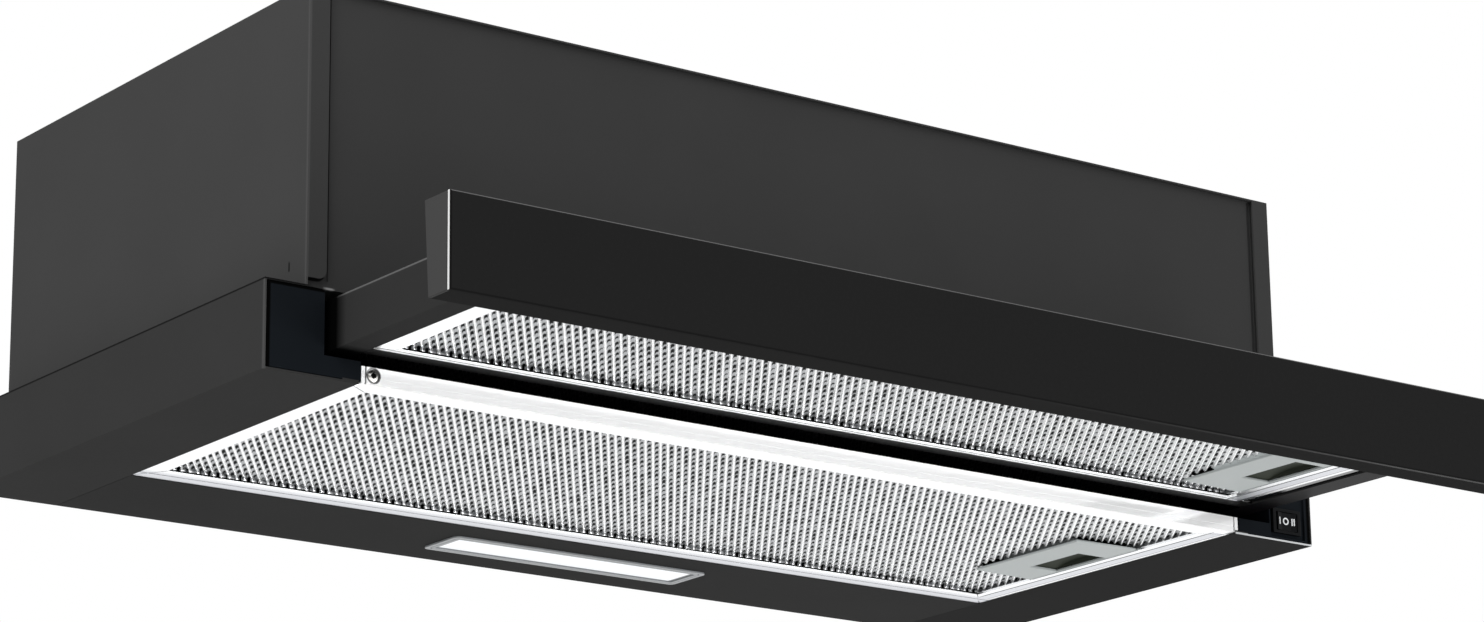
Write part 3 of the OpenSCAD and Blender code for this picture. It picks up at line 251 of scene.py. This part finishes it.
def ribs_and_holes(tree, place, middle):
    across = middle.x * math.cos(RIB_TURN) - middle.y * math.sin(RIB_TURN)
    turned = add_node(tree, "ShaderNodeMapping", {
        "Vector": place, "Rotation": (0, 0, RIB_TURN), "Location": (-across, 0, 0)})
    axes = add_node(tree, "ShaderNodeSeparateXYZ", {0: turned.outputs[0]})
    phase = add_node(tree, "ShaderNodeMath", {0: axes.outputs["X"], 1: FULL_TURN / RIB_PITCH},
                     operation="MULTIPLY")
    ridge = add_node(tree, "ShaderNodeMath", {0: phase.outputs[0]}, operation="COSINE")
    groove = add_node(tree, "ShaderNodeMapRange", {
        "Value": ridge.outputs[0], "From Min": -0.2, "From Max": 0.4}, interpolation_type="SMOOTHSTEP")
    along = add_node(tree, "ShaderNodeMath", {0: axes.outputs["Y"], 1: FULL_TURN / HOLE_PITCH},
                     operation="MULTIPLY")
    skewed = add_node(tree, "ShaderNodeMath", {0: phase.outputs[0], 1: 0.5, 2: along.outputs[0]},
                      operation="MULTIPLY_ADD")
    wave = add_node(tree, "ShaderNodeMath", {0: skewed.outputs[0]}, operation="COSINE")
    crumpled = add_node(tree, "ShaderNodeMapping", {
        "Vector": turned.outputs[0], "Scale": (1 / CRUMPLE[0], 1 / CRUMPLE[1], 1.0)})
    layers = add_node(tree, "ShaderNodeTexNoise", {
        "Vector": crumpled.outputs[0], "Scale": 1.0, "Detail": 1.0})
    uneven = add_node(tree, "ShaderNodeMapRange", {
        "Value": layers.outputs["Fac"], "From Min": 0.3, "From Max": 0.7, "To Min": -0.8, "To Max": 0.8})
    shown = add_node(tree, "ShaderNodeMath", {0: wave.outputs[0], 1: uneven.outputs["Result"]},
                     operation="ADD")
    pierced = add_node(tree, "ShaderNodeMapRange", {
        "Value": shown.outputs[0], "From Min": -0.35, "From Max": 0.35}, interpolation_type="SMOOTHSTEP")
    hole = add_node(tree, "ShaderNodeMath", {0: pierced.outputs[0], 1: groove.outputs[0]},
                    operation="MULTIPLY")
    return groove.outputs[0], hole.outputs[0]


foil_low, foil_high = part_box("filter_1_mesh")
print("ribs across filter 1:", round((foil_high.x - foil_low.x) * math.cos(RIB_TURN) / RIB_PITCH))

# %% Pierced foil, one finish for each filter
FOIL_TONES = ("#f6f7f8", "#fefefe")
# the grooves between the ribs are painted grey, as shade
GROOVE_SHADE = "#c4c6c8"
HOLE_TONE = "#0c0d0e"
WRINKLE_WIDTH = 9 * MM
for name in ("filter_1_mesh", "filter_2_mesh"):
    tree, shader, place = new_finish("aluminium_pierced_foil_" + name, {"Specular IOR Level": 0.02})
    foil_low, foil_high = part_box(name)
    groove, hole = ribs_and_holes(tree, place, (foil_low + foil_high) / 2)
    wrinkle = add_node(tree, "ShaderNodeTexNoise", {
        "Vector": place, "Scale": 1 / WRINKLE_WIDTH, "Detail": 3.0})
    foil = add_node(tree, "ShaderNodeMix", {
        0: wrinkle.outputs["Fac"], 6: linear(FOIL_TONES[0]), 7: linear(FOIL_TONES[1])}, data_type="RGBA")
    shaded = add_node(tree, "ShaderNodeMix", {0: groove, 6: foil.outputs[2], 7: linear(GROOVE_SHADE)},
                      data_type="RGBA")
    tone = add_node(tree, "ShaderNodeMix", {0: hole, 6: shaded.outputs[2], 7: linear(HOLE_TONE)},
                    data_type="RGBA")
    gloss = add_node(tree, "ShaderNodeMapRange", {"Value": groove, "To Min": 0.26, "To Max": 0.55})
    bump = add_node(tree, "ShaderNodeBump", {"Height": hole, "Strength": 0.6, "Distance": 0.25 * MM},
                    invert=True)
    metal = add_node(tree, "ShaderNodeMapRange", {"Value": hole, "To Min": 1.0, "To Max": 0.0})
    tree.links.new(metal.outputs["Result"], shader.inputs["Metallic"])
    plug_in(tree, shader, tone, gloss, bump)
print("finishes so far:", len(finishes))

# %% [markdown]
# ## Diffuser and light board
#
# The diffuser is opal acrylic: milky right through, with a silky face. Subsurface scattering would be the
# exact way, and at this size a pale, faintly glossy surface with a painted glow of its own looks the same
# and renders sooner. How strong that painted glow is comes later, with the lens's border. The board behind
# it is fibreglass with a white solder mask.

# %% Opal acrylic and solder mask
MILK_WIDTH = 20 * MM
WEAVE_WIDTH = 1.2 * MM
tree, shader, place = new_finish("acrylic_opal", {"Emission Color": linear("#f4f8ff"), "Coat Weight": 0.2})
milk = add_node(tree, "ShaderNodeTexNoise", {"Vector": place, "Scale": 1 / MILK_WIDTH, "Detail": 2.0})
tone = add_node(tree, "ShaderNodeMix", {
    0: milk.outputs["Fac"], 6: linear("#eef1f3"), 7: linear("#f8fafb")}, data_type="RGBA")
gloss = add_node(tree, "ShaderNodeMapRange", {"Value": milk.outputs["Fac"], "To Min": 0.3, "To Max": 0.42})
plug_in(tree, shader, tone, gloss)

tree, shader, place = new_finish("solder_mask_white", {"Roughness": 0.45})
weave = add_node(tree, "ShaderNodeTexChecker", {
    "Vector": place, "Scale": 1 / WEAVE_WIDTH, "Color1": linear("#e9ebe6"), "Color2": linear("#dfe2dc")})
tree.links.new(weave.outputs["Color"], shader.inputs["Base Color"])
print("finishes in all:", len(finishes))

# %% [markdown]
# ## Which piece wears which finish
#
# The record of the part already sorts its pieces by material, so most of them can be dressed by that, and
# only a few need a finish of their own. A piece that neither table dresses would stop the script here.

# %% Dress every piece of the frame
BY_SLOT = {
    "black_painted_steel": "powder_coat_black", "gloss_black_steel": "enamel_gloss_black",
    "black_plastic": "abs_moulded_black", "dark_grey_plastic": "abs_moulded_dark_grey",
    "anodised_aluminium": "aluminium_anodised", "grey_plastic": "pa_moulded_light_grey",
    "olive_plastic": "pa_moulded_olive", "zinc_plated_steel": "steel_zinc_plated",
    "black_glass": "glass_back_painted_black", "bezel_grey": "silver_paint", "diffuser": "acrylic_opal",
    "circuit_board": "solder_mask_white", "white_nylon": "pa_moulded_natural",
    "capacitor_case": "pbt_moulded_cream", "motor_steel": "steel_lacquered_laminations",
}
OWN_FINISH = {
    # the housing, the front panel and the low parts wear the black in other tones; the visor's darker coat
    # is painted shade
    "powder_coat_black_housing": ("housing_shell", "rear_panel"),
    "powder_coat_black_front": ("front_panel",),
    "powder_coat_black_low": ("light_panel", "arm_left", "arm_right"),
    "powder_coat_graphite": ("visor_body",),
    "abs_moulded_gloss_black": ("switch_body", "rocker"),
    "pp_moulded_charcoal": ("blower_scroll_left", "blower_scroll_right", "impeller"),
    "aluminium_pierced_foil_filter_1_mesh": ("filter_1_mesh",),
    "aluminium_pierced_foil_filter_2_mesh": ("filter_2_mesh",),
    "aluminium_anodised_satin": ("front_rail",),
    "steel_nickel_plated": ("front_rail_screw",),
    "steel_ground": ("motor_shaft",),
}
chosen = {part["node"]: BY_SLOT.get(part["material_slot"]) for part in frame["record"]["subparts"]}
for finish_name, wearers in OWN_FINISH.items():
    chosen.update(dict.fromkeys(wearers, finish_name))
for name, piece in nodes.items():
    piece.data.materials.clear()
    piece.data.materials.append(finishes[chosen[name]])
print("dressed:", len(nodes), "pieces in", len({chosen[name] for name in nodes}), "finishes")

# %% [markdown]
# ## Painted edges, joints and shade
#
# A painted sheet is not painted everywhere: a bend is painted paler than the flat beside it, as a
# highlight, one lower edge is painted bright, some faces are painted darker, as shade, and a joint between
# two pieces is a black line, because no light gets in. These marks could be extra pieces, but they have no
# thickness. So each is a zone of the piece's own finish: a piece that has one gets a copy of its finish,
# and a mask mixes a second colour in. A mask is a list of limits. Each limit is a value, such as the place
# on the piece or the side that a face looks to, with the number where the zone starts and the number where
# it is full, and the limits are multiplied.

# %% A zone of a finish
def zone(tree, limits):
    mask = 1.0
    for value, start, full in limits:
        step = add_node(tree, "ShaderNodeMapRange", {"Value": value, "From Min": start, "From Max": full})
        both = add_node(tree, "ShaderNodeMath", {0: step.outputs["Result"], 1: mask}, operation="MULTIPLY")
        mask = both.outputs[0]
    return mask


def lay_over(tree, mask, colour, roughness):
    shader = tree.nodes["Principled BSDF"]
    for socket, factor, under, over, result, value, kind in [
            ("Base Color", 0, 6, 7, 2, linear(colour), "RGBA"),
            ("Roughness", 0, 2, 3, 0, roughness, "FLOAT")]:
        if shader.inputs[socket].links:
            below = shader.inputs[socket].links[0].from_socket
        elif kind == "RGBA":
            below = list(shader.inputs[socket].default_value)
        else:
            below = shader.inputs[socket].default_value
        mixed = add_node(tree, "ShaderNodeMix", {factor: mask, under: below, over: value}, data_type=kind)
        tree.links.new(mixed.outputs[result], shader.inputs[socket])


def own_copy(name):
    piece = nodes[name]
    finish = piece.data.materials[0].copy()
    finish.name = piece.data.materials[0].name + "_" + name
    piece.data.materials[0] = finish
    tree = finish.node_tree
    coordinates = add_node(tree, "ShaderNodeTexCoord").outputs
    place = add_node(tree, "ShaderNodeSeparateXYZ", {0: coordinates["Object"]}).outputs
    facing = add_node(tree, "ShaderNodeSeparateXYZ", {0: coordinates["Normal"]}).outputs
    return SimpleNamespace(tree=tree, shader=tree.nodes["Principled BSDF"], spot=coordinates["Object"],
                           place=place, facing=facing)


# %% [markdown]
# ### Limits in words
#
# Nearly every limit is one of two kinds. One asks how far the place on a piece has come from some edge, in
# millimetres. The other asks how squarely a face looks to one side, from 0 to 1. Two limits of the first
# kind leave a band between them. The brush then lays a colour and a roughness on where all its limits are
# met.

# %% Limits and a brush
def reach(skin, axis, origin, start, full):
    return skin.place[axis], origin + start * MM, origin + full * MM


def between(skin, axis, origin, low, high, soft):
    return (reach(skin, axis, origin, low, low + soft), reach(skin, axis, origin, high, high - soft))


def looks(skin, axis, side, start=0.5, full=0.7):
    return skin.facing[axis], side * start, side * full


def paint(skin, colour, roughness, *limits):
    lay_over(skin.tree, zone(skin.tree, limits), colour, roughness)


base_low, base_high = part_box("base_side_left")
FRONT = base_low.y
LEFT = base_low.x
BASE_TOP = base_high.z
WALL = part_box("housing_shell")[0].x
print("front, base's top and left wall in mm:", [round(value / MM, 1) for value in (FRONT, BASE_TOP, WALL)])

# %% [markdown]
# ### Sheet steel
#
# The front edges of the left wall and of the left side piece are tight bends, painted paler as a highlight.
# The housing's faces in front are painted an even, darker black, as shade. A short slot in the left wall is
# where its tab was bent in. A dark line is painted along the top of the base. The right side piece is
# painted darker underneath, as shade, and its lower front edge is painted bright.

# %% Painted bend highlights, a slot, shade and a bright edge
BEND_HIGHLIGHT = "#464646"
RIM_LINE = "#161616"
PALE_EDGE_TONE = "#d6d8da"
shell = own_copy("housing_shell")
# the housing's faces that look to the front, painted darker as shade
paint(shell, "#3a3a3a", 0.7, looks(shell, "Y", -1))
# a painted highlight on the left wall's front bend
paint(shell, BEND_HIGHLIGHT, 0.6, reach(shell, "Y", FRONT, 1.6, 0.8), reach(shell, "X", WALL, 1.2, 0.8))
paint(shell, "#181818", 0.7, *between(shell, "Y", FRONT, 13.4, 14.9, 0.3),
      reach(shell, "Z", BASE_TOP, 8.5, 9.1), reach(shell, "Z", BASE_TOP, 13.5, 12.5),
      reach(shell, "X", WALL, 0.4, 0.3))

left_side = own_copy("base_side_left")
# a painted highlight on the left side piece's front bend
paint(left_side, BEND_HIGHLIGHT, 0.6, reach(left_side, "Y", FRONT, 1.8, 0.8),
      reach(left_side, "X", LEFT, 1.2, 0.9))
# a dark line painted along the top of the base
paint(left_side, RIM_LINE, 0.7, reach(left_side, "Z", BASE_TOP, -1.0, -0.6))

right_side = own_copy("base_side_right")
# the right side piece's underside, painted darker as shade
paint(right_side, "#232323", 0.7, looks(right_side, "Z", -1))
paint(right_side, RIM_LINE, 0.7, reach(right_side, "Z", BASE_TOP, -1.0, -0.6))
# the right side piece's lower front edge, painted bright
paint(right_side, PALE_EDGE_TONE, 0.35, reach(right_side, "Y", FRONT, 0.3, 0.1),
      reach(right_side, "Z", base_low.z, 1.0, 0.85))
print("own finishes:", [name for name in nodes if nodes[name].data.materials[0].name.endswith(name)])

# %% [markdown]
# ### Painted shade beside the flanges
#
# The front panel lies just behind the side walls' flanges, and painted shade runs as a black line beside
# each flange and round its rounded foot. Both are drawn by one value: the distance from the foot's centre,
# which counts only downwards and towards the panel's middle, so that it follows the straight edges as well
# as the round. The painted shade at the left is about 2 mm wider, so it is painted twice. At the left
# flange's foot a sliver of the panel is painted pale.

# %% Painted shade that follows a rounded foot
FLANGE_SHADE = "#101010"
FLANGE_WIDTH = 10
FLANGE_LIFT = 3.5
FLANGE_RADIUS = 4 * MM
foot_centre = (-WALL - FLANGE_WIDTH * MM + FLANGE_RADIUS, 0, BASE_TOP + FLANGE_LIFT * MM + FLANGE_RADIUS)
panel = own_copy("front_panel")
flat = add_node(panel.tree, "ShaderNodeVectorMath", {0: panel.spot, 1: (1, 0, 1)}, operation="MULTIPLY")
folded = add_node(panel.tree, "ShaderNodeVectorMath", {0: flat.outputs[0]}, operation="ABSOLUTE")
inward = add_node(panel.tree, "ShaderNodeVectorMath", {0: foot_centre, 1: folded.outputs[0]},
                  operation="SUBTRACT")
corner = add_node(panel.tree, "ShaderNodeVectorMath", {0: inward.outputs[0], 1: (0, 0, 0)},
                  operation="MAXIMUM")
length = add_node(panel.tree, "ShaderNodeVectorMath", {0: corner.outputs[0]}, operation="LENGTH")
away = length.outputs["Value"]
# painted shade beside each flange and round its foot
paint(panel, FLANGE_SHADE, 0.8, (away, FLANGE_RADIUS + 1.1 * MM, FLANGE_RADIUS + 0.6 * MM),
      reach(panel, "X", 0, 100, -100))
# the wider painted shade at the left
paint(panel, FLANGE_SHADE, 0.8, (away, FLANGE_RADIUS - 1.2 * MM, FLANGE_RADIUS - 1.7 * MM))
# a sliver of the panel at the left flange's foot, painted pale
paint(panel, "#8c8c8c", 0.4, *between(panel, "X", WALL, 9.5, 16, 2), reach(panel, "Y", FRONT, 4, 3.5),
      reach(panel, "Z", BASE_TOP, 1.1, 0.7))
print("foot's centre in mm:", [round(value / MM, 1) for value in foot_centre])

# %% [markdown]
# ### The slide's arms and tray
#
# An arm's upper edge is rolled over, and at the left it is painted pale, as a highlight. Where the arm runs
# into the base it is painted black, as shade, and the right arm's underside is painted darker, as shade,
# and glossy like the tray beside it. The turned-back hem of the tray is dull, because the enamel is thin on
# it, so its reflection is turned down as well.

# %% Arms and hem
for name in ("arm_left", "arm_right"):
    arm = own_copy(name)
    # the left-facing upper edge of each arm: a painted highlight
    paint(arm, "#5c5c5c", 0.5, looks(arm, "X", -1), reach(arm, "Z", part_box(name)[1].z, -0.9, -0.6))
    # where the arm runs into the base: painted black, as shade
    paint(arm, "#030303", 0.6, reach(arm, "Y", FRONT, -12, -4))
    if name == "arm_right":
        # the right arm's underside, painted darker as shade
        paint(arm, "#0c0b0d", 0.35, looks(arm, "Z", -1))
tray = own_copy("slide_tray")
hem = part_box("slide_tray")[0].z
on_hem = zone(tray.tree, [reach(tray, "Z", hem, 0.5, 0.3)])
lay_over(tray.tree, on_hem, "#101010", 0.40)
dull = add_node(tray.tree, "ShaderNodeMapRange", {"Value": on_hem, "To Min": 0.5, "To Max": 0.04})
tray.tree.links.new(dull.outputs["Result"], tray.shader.inputs["Specular IOR Level"])
print("hem at", round((hem - base_low.z) / MM, 1), "mm above the base's underside")

# %% [markdown]
# ### End caps
#
# The caps sit a little behind the sheet, and the joint round them is black. It is drawn as a dark border on
# each cap, at its outer side and along its top.

# %% Dark joints round the caps
CAP_JOINT = "#020202"
for name, inward in (("front_cap_left", 1), ("front_cap_right", -1)):
    low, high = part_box(name)
    cap = own_copy(name)
    outer = low.x if inward > 0 else high.x
    paint(cap, CAP_JOINT, 0.8, reach(cap, "X", outer, inward * 2.0, inward * 1.3))
    paint(cap, CAP_JOINT, 0.8, reach(cap, "Z", high.z, -1.3, -0.8))
    print(name, "border from x =", round(outer / MM, 1))

# %% [markdown]
# ### Visor front plate
#
# The plate is painted on its back, and its cut ends carry a painted bright highlight inside a dark border.
# Of its ground edges the upper one carries a painted highlight, a thin pale line, and the lower one is
# painted dark, as shade. The narrow face underneath is matt and painted darker towards the left, as shade.

# %% Ends and ground edges of the plate
plate = own_copy("visor_front_plate")
plate_low, plate_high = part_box("visor_front_plate")
# the plate's lower face, painted darker towards the left as shade
paint(plate, "#1d1d1d", 0.75, looks(plate, "Z", -1, 0.9, 0.95), reach(plate, "X", 0, 220, -40))
# the ground edges: the upper one a painted highlight, the lower one painted dark as shade
for side, colour in ((1, "#565656"), (-1, "#181818")):
    paint(plate, colour, 0.3, looks(plate, "Z", side, 0.4, 0.6), looks(plate, "Y", -1, 0.2, 0.5))
for side in (1, -1):
    paint(plate, "#101010", 0.4, looks(plate, "X", side, 0.4, 0.6))
    # a painted highlight on each cut end
    paint(plate, "#d4d4d4", 0.3, looks(plate, "X", side, 0.9, 0.95),
          reach(plate, "Y", plate_low.y, 0.7, 0.9), reach(plate, "Y", plate_high.y, -0.3, -0.5))
print("plate is", round((plate_high.y - plate_low.y) / MM, 1), "mm thick")

# %% [markdown]
# ### The rail and its screw
#
# Little light reaches the floor of the rail's groove or the ring round the screw's head, and the screw's
# drive is a dark hole. A groove's floor is told from the face round it by its depth and by the side it
# looks to, and the ring and the drive are told by their distance from the screw's axis.

# %% Groove floor, ring and drive
screw_low, screw_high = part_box("front_rail_screw")
axis_spot = ((screw_low.x + screw_high.x) / 2, 0, (screw_low.z + screw_high.z) / 2)
head_radius = (screw_high.x - screw_low.x) / 2 / MM
for name, start, full, colour, depth in [
        ("front_rail", head_radius + 1.2, head_radius + 0.9, "#161616", 0.5),
        ("front_rail_screw", 1.5, 1.2, "#0a0a0a", 0.2)]:
    metal = own_copy(name)
    flat = add_node(metal.tree, "ShaderNodeVectorMath", {0: metal.spot, 1: (1, 0, 1)}, operation="MULTIPLY")
    away = add_node(metal.tree, "ShaderNodeVectorMath", {0: flat.outputs[0], 1: axis_spot},
                    operation="DISTANCE")
    paint(metal, colour, 0.6, (away.outputs["Value"], start * MM, full * MM))
    paint(metal, "#161616", 0.6, looks(metal, "Y", -1, 0.99, 0.999),
          reach(metal, "Y", FRONT, depth, depth + 0.1))
print("screw's head is", round(2 * head_radius, 1), "mm across")

# %% [markdown]
# ### Filter frames
#
# The sections of a frame have a fine groove round them, painted dark as shade, and the right one is
# stepped:
# a grey line, a pale band and a second grey line, as wide as the steps, painted as the steps' shade. Where
# the foil meets the frame's rear wall, no light gets in, and the wall is black. The rear section of filter
# 1 has a slightly greyer and duller skin than the others.

# %% Painted shade of grooves and steps, and the foil's shadow
RIGHT_STEP_SHADING = [  # mm from the frame's right edge: (start, end, colour)
    (10.1, 8.4, "#85878b"),
    (8.4, 2.6, "#d9dbe0"),
    (3.2, 2.2, "#8a8c90"),
]
for name in ("filter_1_frame", "filter_2_frame"):
    low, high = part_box(name)
    foil_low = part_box(name.replace("frame", "mesh"))[0]
    section = own_copy(name)
    # the fine groove round each section, painted dark as shade
    paint(section, "#3a3c3e", 0.6, looks(section, "Z", -1), *between(section, "Z", low.z, 0.2, 0.8, 0.1))
    # the right section's steps, painted as their shade
    for inner, outer, colour in RIGHT_STEP_SHADING:
        paint(section, colour, 0.35, looks(section, "Z", -1),
              *between(section, "X", high.x, -inner, -outer, 0.3))
    paint(section, "#0c0c0c", 0.9, looks(section, "Y", -1), reach(section, "Y", high.y, -20.1, -20.0),
          reach(section, "Z", foil_low.z, -0.8, -0.7))
    if name == "filter_1_frame":
        paint(section, "#cfd1d6", 0.3, looks(section, "Z", -1), reach(section, "Y", high.y, -13.8, -9.0))
    print(name, "to foil in mm:", round((foil_low.z - low.z) / MM, 1))

# %% [markdown]
# ### Light
#
# The lens has a grey border of painted shade, and the painted glow starts inside it. The bezel's lowest rim
# is silver, and its faces that are set back behind that rim are painted darker, as shade.

# %% Border of the lens, set-back faces of the bezel
bezel_low, bezel_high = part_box("light_bezel")
lens = own_copy("light_lens")
# the painted glow inside the lens's border; the border itself is painted shade
painted_glow_area = zone(lens.tree, [
    reach(lens, "X", bezel_low.x, 5.6, 6.4), reach(lens, "X", bezel_high.x, -5.6, -6.4),
    reach(lens, "Y", bezel_low.y, 4.6, 5.4), reach(lens, "Y", bezel_high.y, -4.6, -5.4)])
border = add_node(lens.tree, "ShaderNodeMath", {0: 1.0, 1: painted_glow_area}, operation="SUBTRACT")
lay_over(lens.tree, border.outputs[0], "#7d8082", 0.4)
glow = add_node(lens.tree, "ShaderNodeMapRange", {"Value": painted_glow_area, "To Min": 0.0, "To Max": 0.22})
lens.tree.links.new(glow.outputs["Result"], lens.shader.inputs["Emission Strength"])
bezel = own_copy("light_bezel")
# the bezel's set-back faces, painted darker as shade
paint(bezel, "#55585b", 0.6, looks(bezel, "Z", -1), reach(bezel, "Z", bezel_low.z, 0.1, 0.2))
print("finishes in the scene:", len(bpy.data.materials))

# %% [markdown]
# ## Softened edges
#
# A moulding never has a perfectly sharp edge, and the narrow round on it is what catches the light. The
# frame's mesh is loose triangles, so three modifiers work together: Weld joins them, Decimate in its planar
# mode takes the lines out of flat faces, and Bevel rounds what is left.

# %% Round the mouldings' edges
SOFT_EDGES = {  # radius in mm
    "front_cap_left": 0.5, "front_cap_right": 0.5, "filter_1_latch_plate": 0.4, "filter_2_latch_plate": 0.4,
    "light_bezel": 0.25, "switch_body": 0.3, "rocker": 0.3, "visor_end_left": 0.3, "visor_end_right": 0.3,
}
for name, radius in SOFT_EDGES.items():
    piece = nodes[name]
    weld = piece.modifiers.new("join", "WELD")
    weld.merge_threshold = 0.001 * MM
    flat_faces = piece.modifiers.new("flat_faces", "DECIMATE")
    flat_faces.decimate_type = "DISSOLVE"
    flat_faces.angle_limit = math.radians(1)
    edge = piece.modifiers.new("edge", "BEVEL")
    edge.width = radius * MM
    edge.segments = 2
    edge.limit_method = "ANGLE"
    edge.angle_limit = math.radians(40)
print("softened:", len(SOFT_EDGES), "pieces")

# %% [markdown]
# ## Marks on the rocker
#
# The rocker has three places, and their marks I, O and II are pad printed: a soft silicone pad lays down a
# film of ink that follows the rocker's two slopes. Each mark is a text object made thin and solid, turned
# to lie on its slope, and then made a mesh. They ride on the rocker's own body, so they tilt with it.

# %% Three printed marks
low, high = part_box("rocker")
middle = (low + high) / 2
SLOPE = math.atan2(0.7, 3.2)  # the rise and the run of the rocker's faces
MARKS = {  # mark: (piece name, mm from the rocker's middle, depth in mm, turn)
    "I": ("rocker_mark_one", -4.6, 0.35, SLOPE),
    "O": ("rocker_mark_off", -0.4, 0.70, 0.0),
    "II": ("rocker_mark_two", 4.3, 0.42, -SLOPE),
}
MARK_HEIGHT = 4.9 * MM
INK_THICKNESS = 0.04 * MM
INK_SPREAD = 0.11 * MM
for mark, (name, offset, depth, turn) in MARKS.items():
    bpy.ops.object.select_all(action="DESELECT")
    spot = (middle.x + offset * MM, low.y + depth * MM, middle.z)
    bpy.ops.object.text_add(location=spot, rotation=(math.radians(90), 0, turn))
    printed = bpy.context.object
    printed.name = name
    printed.data.body = mark
    printed.data.size = MARK_HEIGHT
    printed.data.align_x = "CENTER"
    printed.data.align_y = "CENTER"
    printed.data.extrude = INK_THICKNESS
    printed.data.offset = INK_SPREAD
    bpy.ops.object.convert(target="MESH")
    bpy.ops.object.transform_apply(location=True, rotation=True, scale=True)
    printed = bpy.context.object
    printed.data.materials.append(finishes["ink_pad_printed_white"])
    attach(printed, "rocker")
    print(printed.name, "height mm", round(printed.dimensions.z / MM, 1))

# %% [markdown]
# ## The studio
#
# A cooker hood is looked at from below, so the floor lies where a kitchen's floor would, well under the
# hood, and light comes back up from it. The world is plain white to the eye, a fifth stronger in
# reflections, which is what the metal mirrors, and a little weaker as a light.

# %% World
WORLD_LIGHT = 0.7
WORLD_SEEN = 1.0
WORLD_MIRRORED = 0.2  # on top of what is seen
world = bpy.data.worlds.new("studio")
bpy.context.scene.world = world
world.use_nodes = True
tree = world.node_tree
tree.nodes.clear()
rays = add_node(tree, "ShaderNodeLightPath").outputs
seen = add_node(tree, "ShaderNodeMath", {0: rays["Is Camera Ray"], 1: rays["Is Glossy Ray"]},
                operation="MAXIMUM")
seen = add_node(tree, "ShaderNodeMath", {0: seen.outputs[0], 1: rays["Is Transmission Ray"]},
                operation="MAXIMUM")
level = add_node(tree, "ShaderNodeMapRange", {
    "Value": seen.outputs[0], "To Min": WORLD_LIGHT, "To Max": WORLD_SEEN})
level = add_node(tree, "ShaderNodeMath", {
    0: rays["Is Glossy Ray"], 1: WORLD_MIRRORED, 2: level.outputs["Result"]}, operation="MULTIPLY_ADD")
sky = add_node(tree, "ShaderNodeBackground", {"Color": (1, 1, 1, 1), "Strength": level.outputs[0]})
add_node(tree, "ShaderNodeOutputWorld", {"Surface": sky.outputs[0]})
print("world as light:", WORLD_LIGHT, "to the eye:", WORLD_SEEN)

# %% [markdown]
# ### Floor
#
# The floor is pale matt paint for the light that falls on it. To the eye and in reflections it is plain
# white, so that it runs into the white world without an edge, and seen from underneath it is clear.

# %% Pale floor
hood_middle = (cad_low + cad_high) / 2
FLOOR_DROP = 1.55
FLOOR_SIZE = 12
FLOOR_WHITE = 1.15
bpy.ops.object.select_all(action="DESELECT")
bpy.ops.mesh.primitive_plane_add(
    size=FLOOR_SIZE, location=(hood_middle.x, hood_middle.y, cad_low.z - FLOOR_DROP))
floor = bpy.context.object
floor.name = "floor"
tree, shader, place = new_finish("floor_paint_pale", {"Roughness": 0.6})
patch = add_node(tree, "ShaderNodeTexNoise", {"Vector": place, "Scale": 3.0, "Detail": 2.0})
tone = add_node(tree, "ShaderNodeMix", {
    0: patch.outputs["Fac"], 6: linear("#f1f1f0"), 7: linear("#f6f6f5")}, data_type="RGBA")
plug_in(tree, shader, tone)
rays = add_node(tree, "ShaderNodeLightPath").outputs
direct = add_node(tree, "ShaderNodeMath", {0: rays["Is Glossy Ray"], 1: rays["Is Camera Ray"]},
                  operation="MAXIMUM")
white = add_node(tree, "ShaderNodeEmission", {"Color": (1, 1, 1, 1), "Strength": FLOOR_WHITE})
upper_side = add_node(tree, "ShaderNodeMixShader", {
    0: direct.outputs[0], 1: shader.outputs[0], 2: white.outputs[0]})
clear = add_node(tree, "ShaderNodeBsdfTransparent")
underneath = add_node(tree, "ShaderNodeNewGeometry").outputs["Backfacing"]
one_sided = add_node(tree, "ShaderNodeMixShader", {
    0: underneath, 1: upper_side.outputs[0], 2: clear.outputs[0]})
tree.links.new(one_sided.outputs[0], tree.nodes["Material Output"].inputs["Surface"])
floor.data.materials.append(finishes["floor_paint_pale"])
print("floor at", round(floor.location.z, 2), "m")

# %% [markdown]
# ### Lamps
#
# Two large soft lamps keep every edge gentle: one high at the left, which models the housing's side, and
# one low in front at the right, which reaches the filters and the rail from below. Both are aimed at the
# hood's middle.

# %% Two lamps
LAMPS = {  # name: (place from the hood's middle in m, diameter in m, power in W)
    "lamp_left": ((-1.6, -0.6, 0.9), 1.4, 22),
    "lamp_front": ((1.3, -2.0, -0.75), 1.2, 18),
}
for name, (place, size, power) in LAMPS.items():
    lamp = bpy.data.lights.new(name, "AREA")
    lamp.shape = "DISK"
    lamp.size = size
    lamp.energy = power
    holder = bpy.data.objects.new(name, lamp)
    bpy.context.scene.collection.objects.link(holder)
    holder.location = hood_middle + Vector(place)
    holder.rotation_euler = (hood_middle - holder.location).to_track_quat("-Z", "Y").to_euler()

# %% [markdown]
# ## The camera
#
# The view is from the front left and from below, with a long lens, so that the edges stay nearly parallel.
# The three turns are the camera's tilt, its roll and its heading.

# %% Camera
CAMERA_PLACE = (-1.20919, -1.66957, -0.52284)
CAMERA_TURNS = (105.8937, 0.7072, -36.8144)  # degrees
camera_data = bpy.data.cameras.new("camera")
camera_data.lens = 107.36
camera_data.sensor_width = 36
camera = bpy.data.objects.new("camera", camera_data)
bpy.context.scene.collection.objects.link(camera)
camera.location = CAMERA_PLACE
camera.rotation_euler = [math.radians(turn) for turn in CAMERA_TURNS]
bpy.context.scene.camera = camera
print("camera is", round((camera.location - hood_middle).length, 2), "m from the hood's middle")

# %% [markdown]
# ## Colour management
#
# The Standard view transform shows a colour as it was written.

# %% Colour management, and the end
bpy.context.scene.view_settings.view_transform = "Standard"
